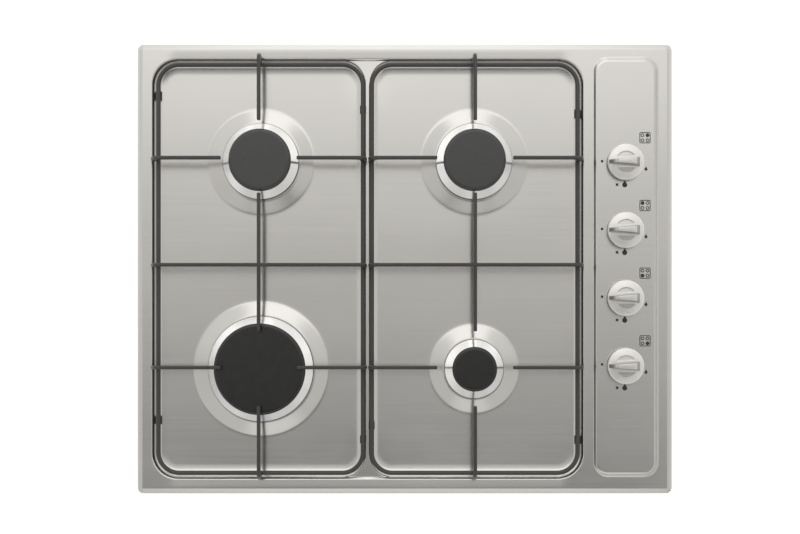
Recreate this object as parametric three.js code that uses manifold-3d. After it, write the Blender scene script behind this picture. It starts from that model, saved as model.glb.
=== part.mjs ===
// Built-in gas hob with four burners, a pressed stainless top and two wire pan supports.
// Millimetres, +Z up, +X to the control panel side, +Y to the rear.
// Origin: centre of the plan outline, on the underside of the burner box.
import * as THREE from 'three';
import { mergeVertices } from 'three/addons/utils/BufferGeometryUtils.js';
import Module from 'manifold-3d';

const wasm = await Module();
wasm.setup();
const { Manifold, Mesh } = wasm;

// ---------------------------------------------------------------- driving dimensions
const PLATE_X = 595, PLATE_Y = 500, PLATE_R = 7;      // outline of the top
const SHEET = 1;                                       // sheet thickness
const SEAT_Z = 44;                                     // worktop surface
const RIM_Z = 50;                                      // flat rim of the plate
const WELL_Z = 42;                                     // floor of both wells
const RIDGE_Z = 48.2;                                  // top of the divider between the wells
const PANEL_Z = 52.5;                                  // raised control panel
const WELL = { x0: -281, x1: 199, y0: -234.5, y1: 234.5, r: 30 };   // recess at rim level
const RIDGE_X0 = -44.2, RIDGE_X1 = -38.6;              // divider crest
const PANEL = { x0: 209.4, x1: 281.9, y0: -230.8, y1: 234.2, r: 16.5 };
const CREST = 3.4;                                     // inset at which the well wall passes the divider height
const CORNER = 4;                                      // facets per plan corner

const RING_Z = 52, RING_R = 2.55, RING_CORNER = 23;    // base wire of a pan support
const SUPPORTS = {                                     // centre lines of the base wires
  left: { x0: -272.9, x1: -46.3, y0: -226.1, y1: 226.0, overX0: 4.1, overX1: 1.9 },
  right: { x0: -36.6, x1: 191.4, y0: -226.1, y1: 226.0, overX0: 1.1, overX1: 3.0 },
};
const BAR_TOP = 72, BAR_LOW = 67, BAR_W = 4, LEG_W = 7.75;
const TIP = { side: 41.5, rear: 42.3, midRear: 37.0, midFront: 41.6, front: 40.0 };   // finger tips from the burner centre
const CROSS_Y = 3.5;

// rc crown outer radius, cap cap radius, col collar radius, dish outer radius, ports
const SEMI = { rc: 42.5, cap: 34.35, col: 30.4, dish: 58.5, seg: 18, ports: 7, fl: 39, bowl: 25.2, low: 23.4 };
const RAPID = { rc: 58.7, cap: 50.45, col: 44.0, dish: 74.75, seg: 20, ports: 8, fl: 53, bowl: 38.8, low: 37 };
const AUX = { rc: 33.0, cap: 24.65, col: 20.4, dish: 49.5, seg: 14, ports: 5, fl: 29, bowl: 12.2, low: 13.4 };
const BURNERS = {
  rear_left: { x: -159.8, y: 119.4, k: SEMI },
  rear_right: { x: 77, y: 119.4, k: SEMI },
  front_left: { x: -159.8, y: -111, k: RAPID },
  front_right: { x: 77, y: -111, k: AUX },
};
const DISH_Z = 46, CROWN_LOW = 47.1, CROWN_LIP = 50.3, PORT_TOP = 58.6, CAP_TOP = 64;

const KNOB_X = 243.8, KNOB_Y = [117.4, 42.4, -32.6, -107.6];
const KNOB_LOW = 56.3, KNOB_R = 20, KNOB_TOP = 71.6;
const RAIL_Z = 12, RAIL_R = 7, RAIL_Y0 = -128, RAIL_Y1 = 178;
const INLET_Y = 205, TAP_OUT_Z = 25.2, CUP_IN_Z = 14;

const BOX = { x: 278.5, y: 238.5, r: 8, top: 46.8 };   // burner box, outside
const GAP = 0.3;

// ---------------------------------------------------------------- helpers
const V2 = (x, y) => new THREE.Vector2(x, y);
const V3 = (x, y, z) => new THREE.Vector3(x, y, z);
const rad = THREE.MathUtils.degToRad;

// one closed surface from any geometry: shared corners merged, outward faces
function closed(geo) {
  let g = geo.clone();
  for (const n of Object.keys(g.attributes)) if (n !== 'position') g.deleteAttribute(n);
  g.clearGroups();
  g = mergeVertices(g, 1e-4);
  const p = g.attributes.position.array, src = g.index.array, idx = [];
  let vol = 0;
  for (let i = 0; i < src.length; i += 3) {
    const [a, b, c] = [src[i], src[i + 1], src[i + 2]];
    if (a === b || b === c || c === a) continue;
    idx.push(a, b, c);
    const A = V3(p[3 * a], p[3 * a + 1], p[3 * a + 2]), B = V3(p[3 * b], p[3 * b + 1], p[3 * b + 2]);
    vol += A.dot(B.cross(V3(p[3 * c], p[3 * c + 1], p[3 * c + 2])));
  }
  if (vol < 0) for (let i = 0; i < idx.length; i += 3) [idx[i + 1], idx[i + 2]] = [idx[i + 2], idx[i + 1]];
  g.setIndex(idx);
  return g;
}
const solid = (geo) => {
  const g = closed(geo);
  return new Manifold(new Mesh({
    numProp: 3,
    vertProperties: new Float32Array(g.attributes.position.array),
    triVerts: new Uint32Array(g.index.array),
  }));
};
function geometry(m) {
  const q = m.getMesh(), n = q.numProp, pos = [];
  for (let i = 0; i < q.vertProperties.length; i += n) pos.push(q.vertProperties[i], q.vertProperties[i + 1], q.vertProperties[i + 2]);
  const g = new THREE.BufferGeometry();
  g.setAttribute('position', new THREE.Float32BufferAttribute(pos, 3));
  g.setIndex(Array.from(q.triVerts));
  return closed(g);
}
const union = (list) => list.reduce((a, b) => a.add(b));
const minus = (a, list) => list.reduce((s, b) => s.subtract(b), a);

// rounded rectangle as a counter-clockwise ring of points
function rr(x0, x1, y0, y1, r, n = CORNER) {
  const p = [];
  for (const [cx, cy, a0] of [[x1 - r, y0 + r, -90], [x1 - r, y1 - r, 0], [x0 + r, y1 - r, 90], [x0 + r, y0 + r, 180]]) {
    for (let i = 0; i <= n; i++) {
      const a = rad(a0 + 90 * i / n);
      p.push([cx + r * Math.cos(a), cy + r * Math.sin(a)]);
    }
  }
  return p;
}
// rings of equal point count stacked upwards and capped
function loft(rings) {
  const n = rings[0].p.length, pos = [], idx = [];
  for (const { z, p } of rings) for (const [x, y] of p) pos.push(x, y, z);
  for (let k = 0; k + 1 < rings.length; k++) for (let i = 0; i < n; i++) {
    const a = k * n + i, b = k * n + (i + 1) % n;
    idx.push(a, b, b + n, a, b + n, a + n);
  }
  const lid = (p, base, up) => {
    for (const t of THREE.ShapeUtils.triangulateShape(p.map(([x, y]) => V2(x, y)), [])) {
      const [A, B, C] = t.map((i) => p[i]);
      const ccw = (B[0] - A[0]) * (C[1] - A[1]) - (B[1] - A[1]) * (C[0] - A[0]) > 0;
      if (ccw === up) idx.push(base + t[0], base + t[1], base + t[2]);
      else idx.push(base + t[0], base + t[2], base + t[1]);
    }
  };
  lid(rings[0].p, 0, false);
  lid(rings[rings.length - 1].p, (rings.length - 1) * n, true);
  const g = new THREE.BufferGeometry();
  g.setAttribute('position', new THREE.Float32BufferAttribute(pos, 3));
  g.setIndex(idx);
  return g;
}
// rings joined into a closed loop, first to last, without caps
function loopLoft(rings) {
  const n = rings[0].p.length, m = rings.length, pos = [], idx = [];
  for (const { z, p } of rings) for (const [x, y] of p) pos.push(x, y, z);
  for (let k = 0; k < m; k++) for (let i = 0; i < n; i++) {
    const a = k * n + i, b = k * n + (i + 1) % n, c = ((k + 1) % m) * n + i, d = ((k + 1) % m) * n + (i + 1) % n;
    idx.push(a, b, d, a, d, c);
  }
  const g = new THREE.BufferGeometry();
  g.setAttribute('position', new THREE.Float32BufferAttribute(pos, 3));
  g.setIndex(idx);
  return g;
}
// turned shape about a vertical axis; the profile is [radius, z]
function lathe(profile, seg, x = 0, y = 0) {
  const pts = profile.map(([r, z]) => V2(r, z));
  if (!(profile[0][0] === 0 && profile[profile.length - 1][0] === 0)) pts.push(pts[0].clone());
  return new THREE.LatheGeometry(pts, seg).rotateX(Math.PI / 2).translate(x, y, 0);
}
const cylZ = (r, z0, z1, seg, x = 0, y = 0, rTop = r) =>
  new THREE.CylinderGeometry(rTop, r, z1 - z0, seg).rotateX(Math.PI / 2).translate(x, y, (z0 + z1) / 2);
const cylX = (r, x0, x1, seg, y, z) =>
  new THREE.CylinderGeometry(r, r, x1 - x0, seg).rotateZ(-Math.PI / 2).translate((x0 + x1) / 2, y, z);
const cylY = (r, y0, y1, seg, x, z) =>
  new THREE.CylinderGeometry(r, r, y1 - y0, seg).translate(x, (y0 + y1) / 2, z);
const box = (x0, x1, y0, y1, z0, z1) =>
  new THREE.BoxGeometry(x1 - x0, y1 - y0, z1 - z0).translate((x0 + x1) / 2, (y0 + y1) / 2, (z0 + z1) / 2);
// outline in a vertical plane [u, z], given a thickness and set along X or Y
function slab(outline, w, along, u0, v) {
  const g = new THREE.ExtrudeGeometry(new THREE.Shape(outline.map(([u, z]) => V2(u, z))), { depth: w, bevelEnabled: false, steps: 1 });
  g.rotateX(Math.PI / 2).translate(0, w / 2, 0);
  if (along === 'y') g.rotateZ(Math.PI / 2).translate(v, u0, 0);
  else g.translate(u0, v, 0);
  return g;
}
const arc = (cx, cz, r, a0, a1, n) => Array.from({ length: n + 1 }, (_, i) => {
  const a = rad(a0 + (a1 - a0) * i / n);
  return [cx + r * Math.cos(a), cz + r * Math.sin(a)];
});

// ---------------------------------------------------------------- group and finishes
const group = new THREE.Group();
const FINISH = {
  stainless: [0xc9c6c0, 0.35, 1.0], zinc: [0xb4b6b8, 0.5, 0.9], enamel: [0x3b3936, 0.55, 0.1],
  capEnamel: [0x3a3a39, 0.6, 0.1], rubber: [0x1c1c1c, 0.85, 0], aluminium: [0xe0e0de, 0.3, 1.0],
  brass: [0xc8a050, 0.35, 1.0], steel: [0xa9abad, 0.35, 1.0], knob: [0xcac7c1, 0.4, 0.4],
  foam: [0x2a2a2a, 0.95, 0],
};
function add(name, geo, finish) {
  const [color, roughness, metalness] = FINISH[finish];
  const g = (geo.isBufferGeometry ? closed(geo) : geometry(geo));
  g.computeVertexNormals();
  const mesh = new THREE.Mesh(g, new THREE.MeshStandardMaterial({ name: finish, color, roughness, metalness, flatShading: true }));
  mesh.name = name;
  group.add(mesh);
}

// ---------------------------------------------------------------- top plate
const WALL = [[CREST, RIDGE_Z], [8.6, 43.8], [13.8, WELL_Z]];   // inset, z of the well wall

function under(dz, inset, zLow) {
  const X = PLATE_X / 2 - inset, Y = PLATE_Y / 2 - inset;
  const ring = (i, z) => ({ z, p: rr(-X + i, X - i, -Y + i, Y - i, Math.max(PLATE_R - inset - i, 0.6)) });
  let s = solid(loft([ring(0, zLow), ring(0, 46.6 + dz), ring(2, 49 + dz), ring(6.2, RIM_Z + dz)]));
  if (inset === 0) s = s.add(solid(loft([{ z: 30, p: rr(-290, 290, -243, 243, 3) }, { z: 46, p: rr(-290, 290, -243, 243, 3) }])));
  // raised control panel
  const { x0, x1, y0, y1, r } = PANEL;
  s = s.add(solid(loft([
    { z: 49.5 + dz, p: rr(x0 + 0.2, x1 - 0.2, y0 + 0.2, y1 - 0.2, r - 0.2) },
    { z: PANEL_Z + dz, p: rr(x0 + 4.6, x1 - 4.6, y0 + 4.6, y1 - 4.6, r - 4.6) },
  ])));
  // shared recess down to the divider crest
  const w = WELL;
  const rec = (i, z) => ({ z: z + dz, p: rr(w.x0 + i, w.x1 - i, w.y0 + i, w.y1 - i, w.r - i) });
  s = s.subtract(solid(loft([rec(CREST, RIDGE_Z), rec(0, RIM_Z), rec(0, 54)])));
  // the two wells
  for (const [a, b, ka, kb] of [[w.x0, RIDGE_X0 + CREST * 0.87, 1, 0.87], [RIDGE_X1 - CREST * 0.87, w.x1, 0.87, 1]]) {
    const at = (i, z) => ({ z: z + dz, p: rr(a + i * ka, b - i * kb, w.y0 + i, w.y1 - i, w.r - i) });
    s = s.subtract(solid(loft([...WALL].reverse().map(([i, z]) => at(i, z)).concat([at(CREST, 53)]))));
  }
  // dishes around the burners
  for (const { x, y, k } of Object.values(BURNERS)) {
    const slope = k.dish - (k.rc + 1.2);
    s = s.add(solid(cylZ(k.dish + slope / 4, WELL_Z - 1 + dz, DISH_Z + dz, k.seg, x, y, k.rc + 1.2)));
  }
  return s;
}
let plate = under(0, 0, SEAT_Z).subtract(under(-SHEET, SHEET, 20));
for (const { x, y, k } of Object.values(BURNERS)) plate = plate.subtract(solid(cylZ(k.col + 0.7, 30, 60, k.seg, x, y)));
for (const y of KNOB_Y) plate = plate.subtract(solid(cylZ(6.5, 40, 60, 12, KNOB_X, y)));
add('hob_plate', plate, 'stainless');

// ---------------------------------------------------------------- seal under the rim
add('worktop_seal', solid(loft([
  { z: SEAT_Z, p: rr(-295, 295, -247.5, 247.5, 5) },
  { z: 46.4, p: rr(-295, 295, -247.5, 247.5, 5) },
  { z: RIM_Z - SHEET - GAP, p: rr(-290.4, 290.4, -243.2, 243.2, 2) },
])).subtract(solid(loft([
  { z: SEAT_Z - 2, p: rr(-283.5, 283.5, -240.6, 240.6, 4) },
  { z: RIM_Z, p: rr(-283.5, 283.5, -240.6, 240.6, 4) },
]))), 'foam');

// ---------------------------------------------------------------- burner box
const NICHES = [[-1, 1], [1, 1], [-1, -1], [1, -1]];   // sides of X and Y, one clamp each
function tray(inset, z0, z1) {
  let s = solid(loft([
    { z: z0, p: rr(-BOX.x + inset, BOX.x - inset, -BOX.y + inset, BOX.y - inset, BOX.r - inset, 2) },
    { z: z1, p: rr(-BOX.x + inset, BOX.x - inset, -BOX.y + inset, BOX.y - inset, BOX.r - inset, 2) },
  ]));
  for (const [sx, sy] of NICHES) {
    const xa = 180 - inset, xb = 226 + inset, ya = 220.5 - inset;
    s = s.subtract(solid(box(sx > 0 ? xa : -xb, sx > 0 ? xb : -xa, sy > 0 ? ya : -260, sy > 0 ? 260 : -ya, -3, 17 + inset)));
  }
  return s;
}
let burnerBox = tray(0, 0, BOX.top).subtract(tray(1, 1, BOX.top + 5));
burnerBox = minus(burnerBox, [
  solid(cylZ(14, -2, 4, 14, KNOB_X, INLET_Y)),
  ...[-200, -120, 38, 118].map((x) => solid(box(x - 3, x + 3, -25, 25, -2, 3))),
]);
add('burner_box', burnerBox, 'zinc');

// ---------------------------------------------------------------- pan supports
function finger(len, over, r = 12, leg = LEG_W) {
  const a = -(RING_R + over), b = a + leg;
  return [
    [a, RING_Z + 1], [b, RING_Z + 1],
    ...arc(b + 8, BAR_LOW - 8, 8, 180, 90, 3),
    [len - 0.7, BAR_LOW], [len, BAR_LOW + 0.9], [len, BAR_TOP - 1.2], [len - 1.2, BAR_TOP],
    ...arc(a + r, BAR_TOP - r, r, 90, 180, 4),
  ];
}
function crossBar(len, over0, over1) {
  const a = -(RING_R + over0), b = a + LEG_W, d = len + RING_R + over1, c = d - LEG_W;
  return [
    [a, RING_Z + 1], [b, RING_Z + 1],
    ...arc(b + 8, BAR_LOW - 8, 8, 180, 90, 3), ...arc(c - 8, BAR_LOW - 8, 8, 90, 0, 3),
    [c, RING_Z + 1], [d, RING_Z + 1],
    ...arc(d - 12, BAR_TOP - 12, 12, 0, 90, 4), ...arc(a + 12, BAR_TOP - 12, 12, 90, 180, 4),
  ];
}
const mirror = (outline, len) => outline.map(([u, z]) => [len - u, z]).reverse();
for (const [side, s] of Object.entries(SUPPORTS)) {
  const cx = BURNERS[`rear_${side}`].x, yr = BURNERS[`rear_${side}`].y, yf = BURNERS[`front_${side}`].y;
  const ring = [];
  for (let k = 0; k < 8; k++) {
    const a = rad(22.5 + 45 * k), d = RING_R * Math.cos(a), z = RING_Z + RING_R * Math.sin(a);
    ring.push({ z, p: rr(s.x0 - d, s.x1 + d, s.y0 - d, s.y1 + d, RING_CORNER + d) });
  }
  const parts = [solid(loopLoft(ring))];
  const bar = (outline, along, u0, v) => parts.push(solid(slab(outline, BAR_W, along, u0, v)));
  // full-width cross bar
  bar(crossBar(s.x1 - s.x0, s.overX0, s.overX1), 'x', s.x0, CROSS_Y);
  // side fingers of the rear and the front burner
  for (const y of [yr + 1.2, yf + 2.1]) {
    bar(finger(cx - TIP.side - s.x0, s.overX0), 'x', s.x0, y);
    const len = s.x1 - cx - TIP.side;
    bar(mirror(finger(len, s.overX1), len), 'x', cx + TIP.side, y);
  }
  // rear, front and middle fingers
  const lr = s.y1 - yr - TIP.rear, lf = yf - TIP.front - s.y0, lm = yr - yf - TIP.midRear - TIP.midFront;
  bar(mirror(finger(lr, 7.2, 7, 9.6), lr), 'y', yr + TIP.rear, cx);
  bar(finger(lf, 4.1), 'y', s.y0, cx);
  bar([[0, BAR_LOW + 0.9], [0.7, BAR_LOW], [lm - 0.7, BAR_LOW], [lm, BAR_LOW + 0.9], [lm, BAR_TOP - 1.2], [lm - 1.2, BAR_TOP], [1.2, BAR_TOP], [0, BAR_TOP - 1.2]], 'y', yf + TIP.midFront, cx);
  add(`pan_support_${side}`, union(parts), 'enamel');
}

// ---------------------------------------------------------------- rubber feet under the base wires
// cross section of the well wall seen along Y: height of the sheet at a distance from the crest or rim edge
function wallZ(i) {
  const P = [[-9, RIM_Z], [0, RIM_Z], ...WALL, [40, WELL_Z]];
  for (let k = 0; k + 1 < P.length; k++) if (i >= P[k][0] && i <= P[k + 1][0]) {
    return P[k][1] + (P[k + 1][1] - P[k][1]) * (i - P[k][0]) / (P[k + 1][0] - P[k][0]);
  }
  return WELL_Z;
}
const FOOT_W = 3.9, FOOT_L = 9;
function foot(xc, y, surface) {
  const low = [];
  for (let i = 0; i <= 4; i++) { const u = -FOOT_W + i * FOOT_W / 2; low.push([u, surface(xc + u) + 0.55]); }
  const top = 52.9;
  const outline = [...low, [FOOT_W, top], [2.95, top], ...arc(0, RING_Z, 3.05, 0, -180, 6), [-2.95, top], [-FOOT_W, top]];
  return slab(outline, FOOT_L, 'x', xc, y);
}
const rimSide = (edge, dir) => (x) => wallZ((x - edge) * dir);
const ridgeSide = (crest, dir) => (x) => {
  const i = (x - crest) * dir;
  return i <= 0 ? RIDGE_Z : wallZ(CREST + i / 0.87);
};
const FEET = [
  ['foot_left_1', SUPPORTS.left.x0, 192.5, rimSide(WELL.x0, 1)],
  ['foot_left_2', SUPPORTS.left.x0, -168, rimSide(WELL.x0, 1)],
  ['foot_left_3', SUPPORTS.left.x1, 176.5, ridgeSide(RIDGE_X0, -1)],
  ['foot_left_4', SUPPORTS.left.x1, -189.2, ridgeSide(RIDGE_X0, -1)],
  ['foot_right_1', SUPPORTS.right.x0, -173.4, ridgeSide(RIDGE_X1, 1)],
  ['foot_right_2', SUPPORTS.right.x1, 172.4, rimSide(WELL.x1, -1)],
  ['foot_right_3', SUPPORTS.right.x1, -189.9, rimSide(WELL.x1, -1)],
];
for (const [name, xc, y, surface] of FEET) add(name, foot(xc, y, surface), 'rubber');

// ---------------------------------------------------------------- burners
for (const [name, { x, y, k }] of Object.entries(BURNERS)) {
  const rp = k.cap - 1.6;
  // cap
  add(`cap_${name}`, lathe([
    [0, CAP_TOP], [k.cap - 3, CAP_TOP], [k.cap - 0.7, CAP_TOP - 1], [k.cap, CAP_TOP - 2.6], [k.cap, PORT_TOP + GAP],
    [rp - 3.6, PORT_TOP + GAP], [rp - 3.6, PORT_TOP - 2], [rp - 6, PORT_TOP - 2], [rp - 6.4, PORT_TOP + 1.6], [0, PORT_TOP + 1.6],
  ], k.seg, x, y), 'capEnamel');
  // crown with its flame ports
  let crown = solid(lathe([
    [k.rc, CROWN_LOW], [k.rc, CROWN_LIP], [rp, 55.6], [rp, PORT_TOP], [rp - 3.2, PORT_TOP],
    [rp - 3.2, 52.4], [k.col * 0.45, 52.4], [k.col * 0.45, 48.9], [k.col + 0.6, 48.9], [k.col + 0.6, CROWN_LOW],
  ], k.seg, x, y));
  for (let i = 0; i < k.ports; i++) {
    const slot = new THREE.BoxGeometry(2 * rp + 4, 2.4, 3).rotateZ(Math.PI * (i + 0.5) / k.ports).translate(x, y, PORT_TOP - 0.9);
    crown = crown.subtract(solid(slot));
  }
  add(`crown_${name}`, crown, 'aluminium');
  // cup: mixing bowl, flange under the plate, injector seat and side inlet
  let cup = solid(lathe([
    [0, 8], [9, 8], [9, 27], [k.low, 36], [k.col - 3.4, 41.6], [k.fl, 41.6], [k.fl, 44.6], [k.col, 44.6], [k.col, 48.5],
    [k.col - 2.4, 48.5], [k.bowl, 39], [7, 29.5], [0, 29.5],
  ], k.seg, x, y)).add(solid(cylX(6.4, x, x + 24, 10, y, CUP_IN_Z)));
  cup = minus(cup, [solid(cylZ(4.3, CUP_IN_Z, 31, 10, x, y)), solid(cylX(3.5, x, x + 25, 10, y, CUP_IN_Z))]);
  add(`burner_cup_${name}`, cup, 'aluminium');
  // injector
  add(`injector_${name}`, lathe([
    [0.8, 18], [3.9, 18], [3.9, 29.8], [5.6, 29.8], [5.6, 34], [3, 35.5], [0.8, 35.5],
  ], 8, x, y), 'brass');
}

// ---------------------------------------------------------------- taps and knobs
KNOB_Y.forEach((y, i) => {
  const n = i + 1, x = KNOB_X;
  // knob: round skirt with a tapered grip bar, pointing left when off
  const bar = loft([
    { z: 60.5, p: [[x - 19, y - 2.2], [x + 15, y - 6.2], [x + 15, y + 6.2], [x - 19, y + 2.2]] },
    { z: KNOB_TOP, p: [[x - 17.6, y - 1.4], [x + 13.5, y - 4.8], [x + 13.5, y + 4.8], [x - 17.6, y + 1.4]] },
  ]);
  let knob = solid(lathe([
    [0, 62.6], [18.6, 62.6], [KNOB_R, 60.6], [KNOB_R, KNOB_LOW], [18.2, KNOB_LOW], [18.2, 59.6], [7, 59.6], [7, KNOB_LOW], [0, KNOB_LOW],
  ], 14, x, y)).add(solid(bar));
  knob = knob.subtract(solid(cylZ(3.3, 54, 65, 10, x, y)));
  add(`knob_${n}`, knob, 'knob');
  // stem: round shaft, shoulder under the bonnet, tongue in the plug's slot
  const stem = solid(lathe([[0, 64.6], [3, 64.6], [3, 40.6], [4, 40.6], [4, 36.8], [0, 36.8]], 10, x, y))
    .add(solid(box(x - 3.4, x + 3.4, y - 1, y + 1, 31.3, 38)));
  add(`tap_stem_${n}`, stem, 'steel');
  // tapered plug: slot for the stem's tongue, gas way from below to one side
  let plug = solid(cylZ(7, 22.4, 33, 12, x, y, 7.9));
  plug = minus(plug, [
    solid(box(x - 9, x + 9, y - 1.35, y + 1.35, 27.5, 34)),
    solid(cylZ(2, 20, TAP_OUT_Z, 8, x, y)),
    solid(cylY(1.9, y, y + 9, 8, x, TAP_OUT_Z)),
  ]);
  add(`tap_plug_${n}`, plug, 'brass');
  // body: saddle on the rail, plug chamber, bonnet, outlet
  let body = union([
    solid(box(x - 13, x + 13, y - 15, y + 15, 9, 41)),
    solid(cylZ(9, 40, 45, 8, x, y)),
    solid(cylX(6, x - 20, x - 10, 8, y, TAP_OUT_Z)),
  ]);
  body = minus(body, [
    solid(cylY(RAIL_R + 0.4, y - 20, y + 20, 12, x, RAIL_Z)),
    solid(cylZ(7.5, 22, 33, 10, x, y, 8.4)),
    solid(cylZ(8.4, 32.9, 41, 10, x, y)),
    solid(cylZ(3.5, 40, 46, 10, x, y)),
    solid(cylZ(2, 17, 23, 8, x, y)),
    solid(cylX(3.6, x - 21, x - 6, 8, y, TAP_OUT_Z)),
  ]);
  add(`tap_body_${n}`, body, 'aluminium');
});

// ---------------------------------------------------------------- gas rail, inlet and feed pipes
let rail = solid(cylY(RAIL_R, RAIL_Y0, RAIL_Y1, 16, KNOB_X, RAIL_Z)).subtract(solid(cylY(5.2, RAIL_Y0 + 2, RAIL_Y1 + 2, 12, KNOB_X, RAIL_Z)));
rail = minus(rail, KNOB_Y.map((y) => solid(cylZ(2, RAIL_Z + 2, RAIL_Z + 10, 8, KNOB_X, y))));
add('gas_rail', rail, 'steel');

let elbow = union([
  solid(cylY(10.5, 168, INLET_Y, 14, KNOB_X, RAIL_Z)),
  solid(cylZ(12.4, 6, 25, 6, KNOB_X, INLET_Y)),
  solid(cylZ(10.4, 0.6, 10, 16, KNOB_X, INLET_Y)),
]);
elbow = minus(elbow, [
  solid(cylY(RAIL_R + 0.4, 160, RAIL_Y1 + 0.5, 16, KNOB_X, RAIL_Z)),
  solid(cylY(5.2, 170, INLET_Y, 12, KNOB_X, RAIL_Z)),
  solid(cylZ(7, -2, RAIL_Z + 4, 12, KNOB_X, INLET_Y)),
]);
add('inlet_elbow', elbow, 'brass');

// open-ended tube along a line of points, with a ring of corners at each point
function pipe(points, rOut = 3, rIn = 2.1, n = 6) {
  const P = points.map((p) => V3(...p)), pos = [], idx = [], m = P.length;
  P.forEach((p, k) => {
    const t = P[Math.min(k + 1, m - 1)].clone().sub(P[Math.max(k - 1, 0)]).normalize();
    const side = V3(0, 0, 1).cross(t).normalize(), up = t.clone().cross(side);
    for (const r of [rOut, rIn]) for (let i = 0; i < n; i++) {
      const a = 2 * Math.PI * i / n;
      const q = p.clone().addScaledVector(side, r * Math.cos(a)).addScaledVector(up, r * Math.sin(a));
      pos.push(q.x, q.y, q.z);
    }
  });
  const at = (k, inner, i) => k * 2 * n + inner * n + (i % n);
  for (let i = 0; i < n; i++) {
    for (let k = 0; k + 1 < m; k++) {
      idx.push(at(k, 0, i), at(k, 0, i + 1), at(k + 1, 0, i + 1), at(k, 0, i), at(k + 1, 0, i + 1), at(k + 1, 0, i));
      idx.push(at(k, 1, i), at(k + 1, 1, i + 1), at(k, 1, i + 1), at(k, 1, i), at(k + 1, 1, i), at(k + 1, 1, i + 1));
    }
    idx.push(at(0, 0, i), at(0, 1, i + 1), at(0, 0, i + 1), at(0, 0, i), at(0, 1, i), at(0, 1, i + 1));
    const e = m - 1;
    idx.push(at(e, 0, i), at(e, 0, i + 1), at(e, 1, i + 1), at(e, 0, i), at(e, 1, i + 1), at(e, 1, i));
  }
  const g = new THREE.BufferGeometry();
  g.setAttribute('position', new THREE.Float32BufferAttribute(pos, 3));
  g.setIndex(idx);
  return g;
}
const lead = (y) => [[KNOB_X - 12, y, TAP_OUT_Z], [KNOB_X - 26, y, TAP_OUT_Z], [KNOB_X - 34, y, TAP_OUT_Z - 2.5], [KNOB_X - 50, y, CUP_IN_Z + 2.5], [KNOB_X - 58, y, CUP_IN_Z]];
const tail = ({ x, y }) => [[x + 34, y, CUP_IN_Z], [x + 10, y, CUP_IN_Z]];
const dogleg = (y0, burner) => {
  const s = Math.sign(burner.y - y0), x = burner.x + 46;
  return [...lead(y0), [-30, y0, CUP_IN_Z], [-44, y0 + s * 3, CUP_IN_Z], [-54, y0 + s * 12, CUP_IN_Z],
    [x + 14, burner.y - s * 12, CUP_IN_Z], [x + 4, burner.y - s * 3, CUP_IN_Z], ...tail(burner)];
};
const { rear_left: RL, rear_right: RR, front_left: FL, front_right: FR } = BURNERS;
add('feed_pipe_1', pipe([...lead(KNOB_Y[0]), ...tail(RR)]), 'aluminium');
add('feed_pipe_2', pipe(dogleg(KNOB_Y[1], RL)), 'aluminium');
add('feed_pipe_3', pipe(dogleg(KNOB_Y[2], FL)), 'aluminium');
add('feed_pipe_4', pipe([...lead(KNOB_Y[3]), ...tail(FR)]), 'aluminium');

// ---------------------------------------------------------------- fixing clamps, stowed in the niches of the box
const CLAMP_NAME = ['clamp_rear_left', 'clamp_rear_right', 'clamp_front_left', 'clamp_front_right'];
NICHES.forEach(([sx, sy], i) => {
  const px = 217, py = 229.5;                            // pivot screw
  const m = (x0, x1, y0, y1, z0, z1) => solid(box(sx > 0 ? x0 : -x1, sx > 0 ? x1 : -x0, sy > 0 ? y0 : -y1, sy > 0 ? y1 : -y0, z0, z1));
  const c = union([
    m(187, px, py - 6, py + 6, 3.6, 6.2),                // arm
    solid(cylZ(6, 3.6, 6.2, 12, sx * px, sy * py)),      // round end of the arm
    m(187, 194, py - 6, py + 6, 3.6, 14),                // jaw that bears on the worktop from below
    solid(cylZ(4.6, 0.8, 4, 6, sx * px, sy * py)),       // screw head
    solid(cylZ(2.5, 3, 16.4, 8, sx * px, sy * py)),      // screw shank
  ]);
  add(CLAMP_NAME[i], c, 'steel');
});

export default group;
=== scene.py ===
import math

import bmesh
import bpy
import numpy as np
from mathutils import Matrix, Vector


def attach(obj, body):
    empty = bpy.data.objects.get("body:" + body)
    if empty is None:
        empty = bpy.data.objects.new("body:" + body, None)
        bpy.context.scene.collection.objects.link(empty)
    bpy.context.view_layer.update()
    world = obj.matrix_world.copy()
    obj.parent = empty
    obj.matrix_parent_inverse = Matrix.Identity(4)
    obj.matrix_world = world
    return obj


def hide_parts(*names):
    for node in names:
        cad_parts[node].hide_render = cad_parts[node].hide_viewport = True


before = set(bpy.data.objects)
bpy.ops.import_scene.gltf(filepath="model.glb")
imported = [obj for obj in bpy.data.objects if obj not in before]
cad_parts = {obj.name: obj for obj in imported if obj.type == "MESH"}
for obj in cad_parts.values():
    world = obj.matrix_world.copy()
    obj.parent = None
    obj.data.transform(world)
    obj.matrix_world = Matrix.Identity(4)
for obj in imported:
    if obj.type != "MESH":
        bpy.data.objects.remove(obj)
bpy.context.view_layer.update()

SCENE = bpy.context.scene
MM = 0.001

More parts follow.
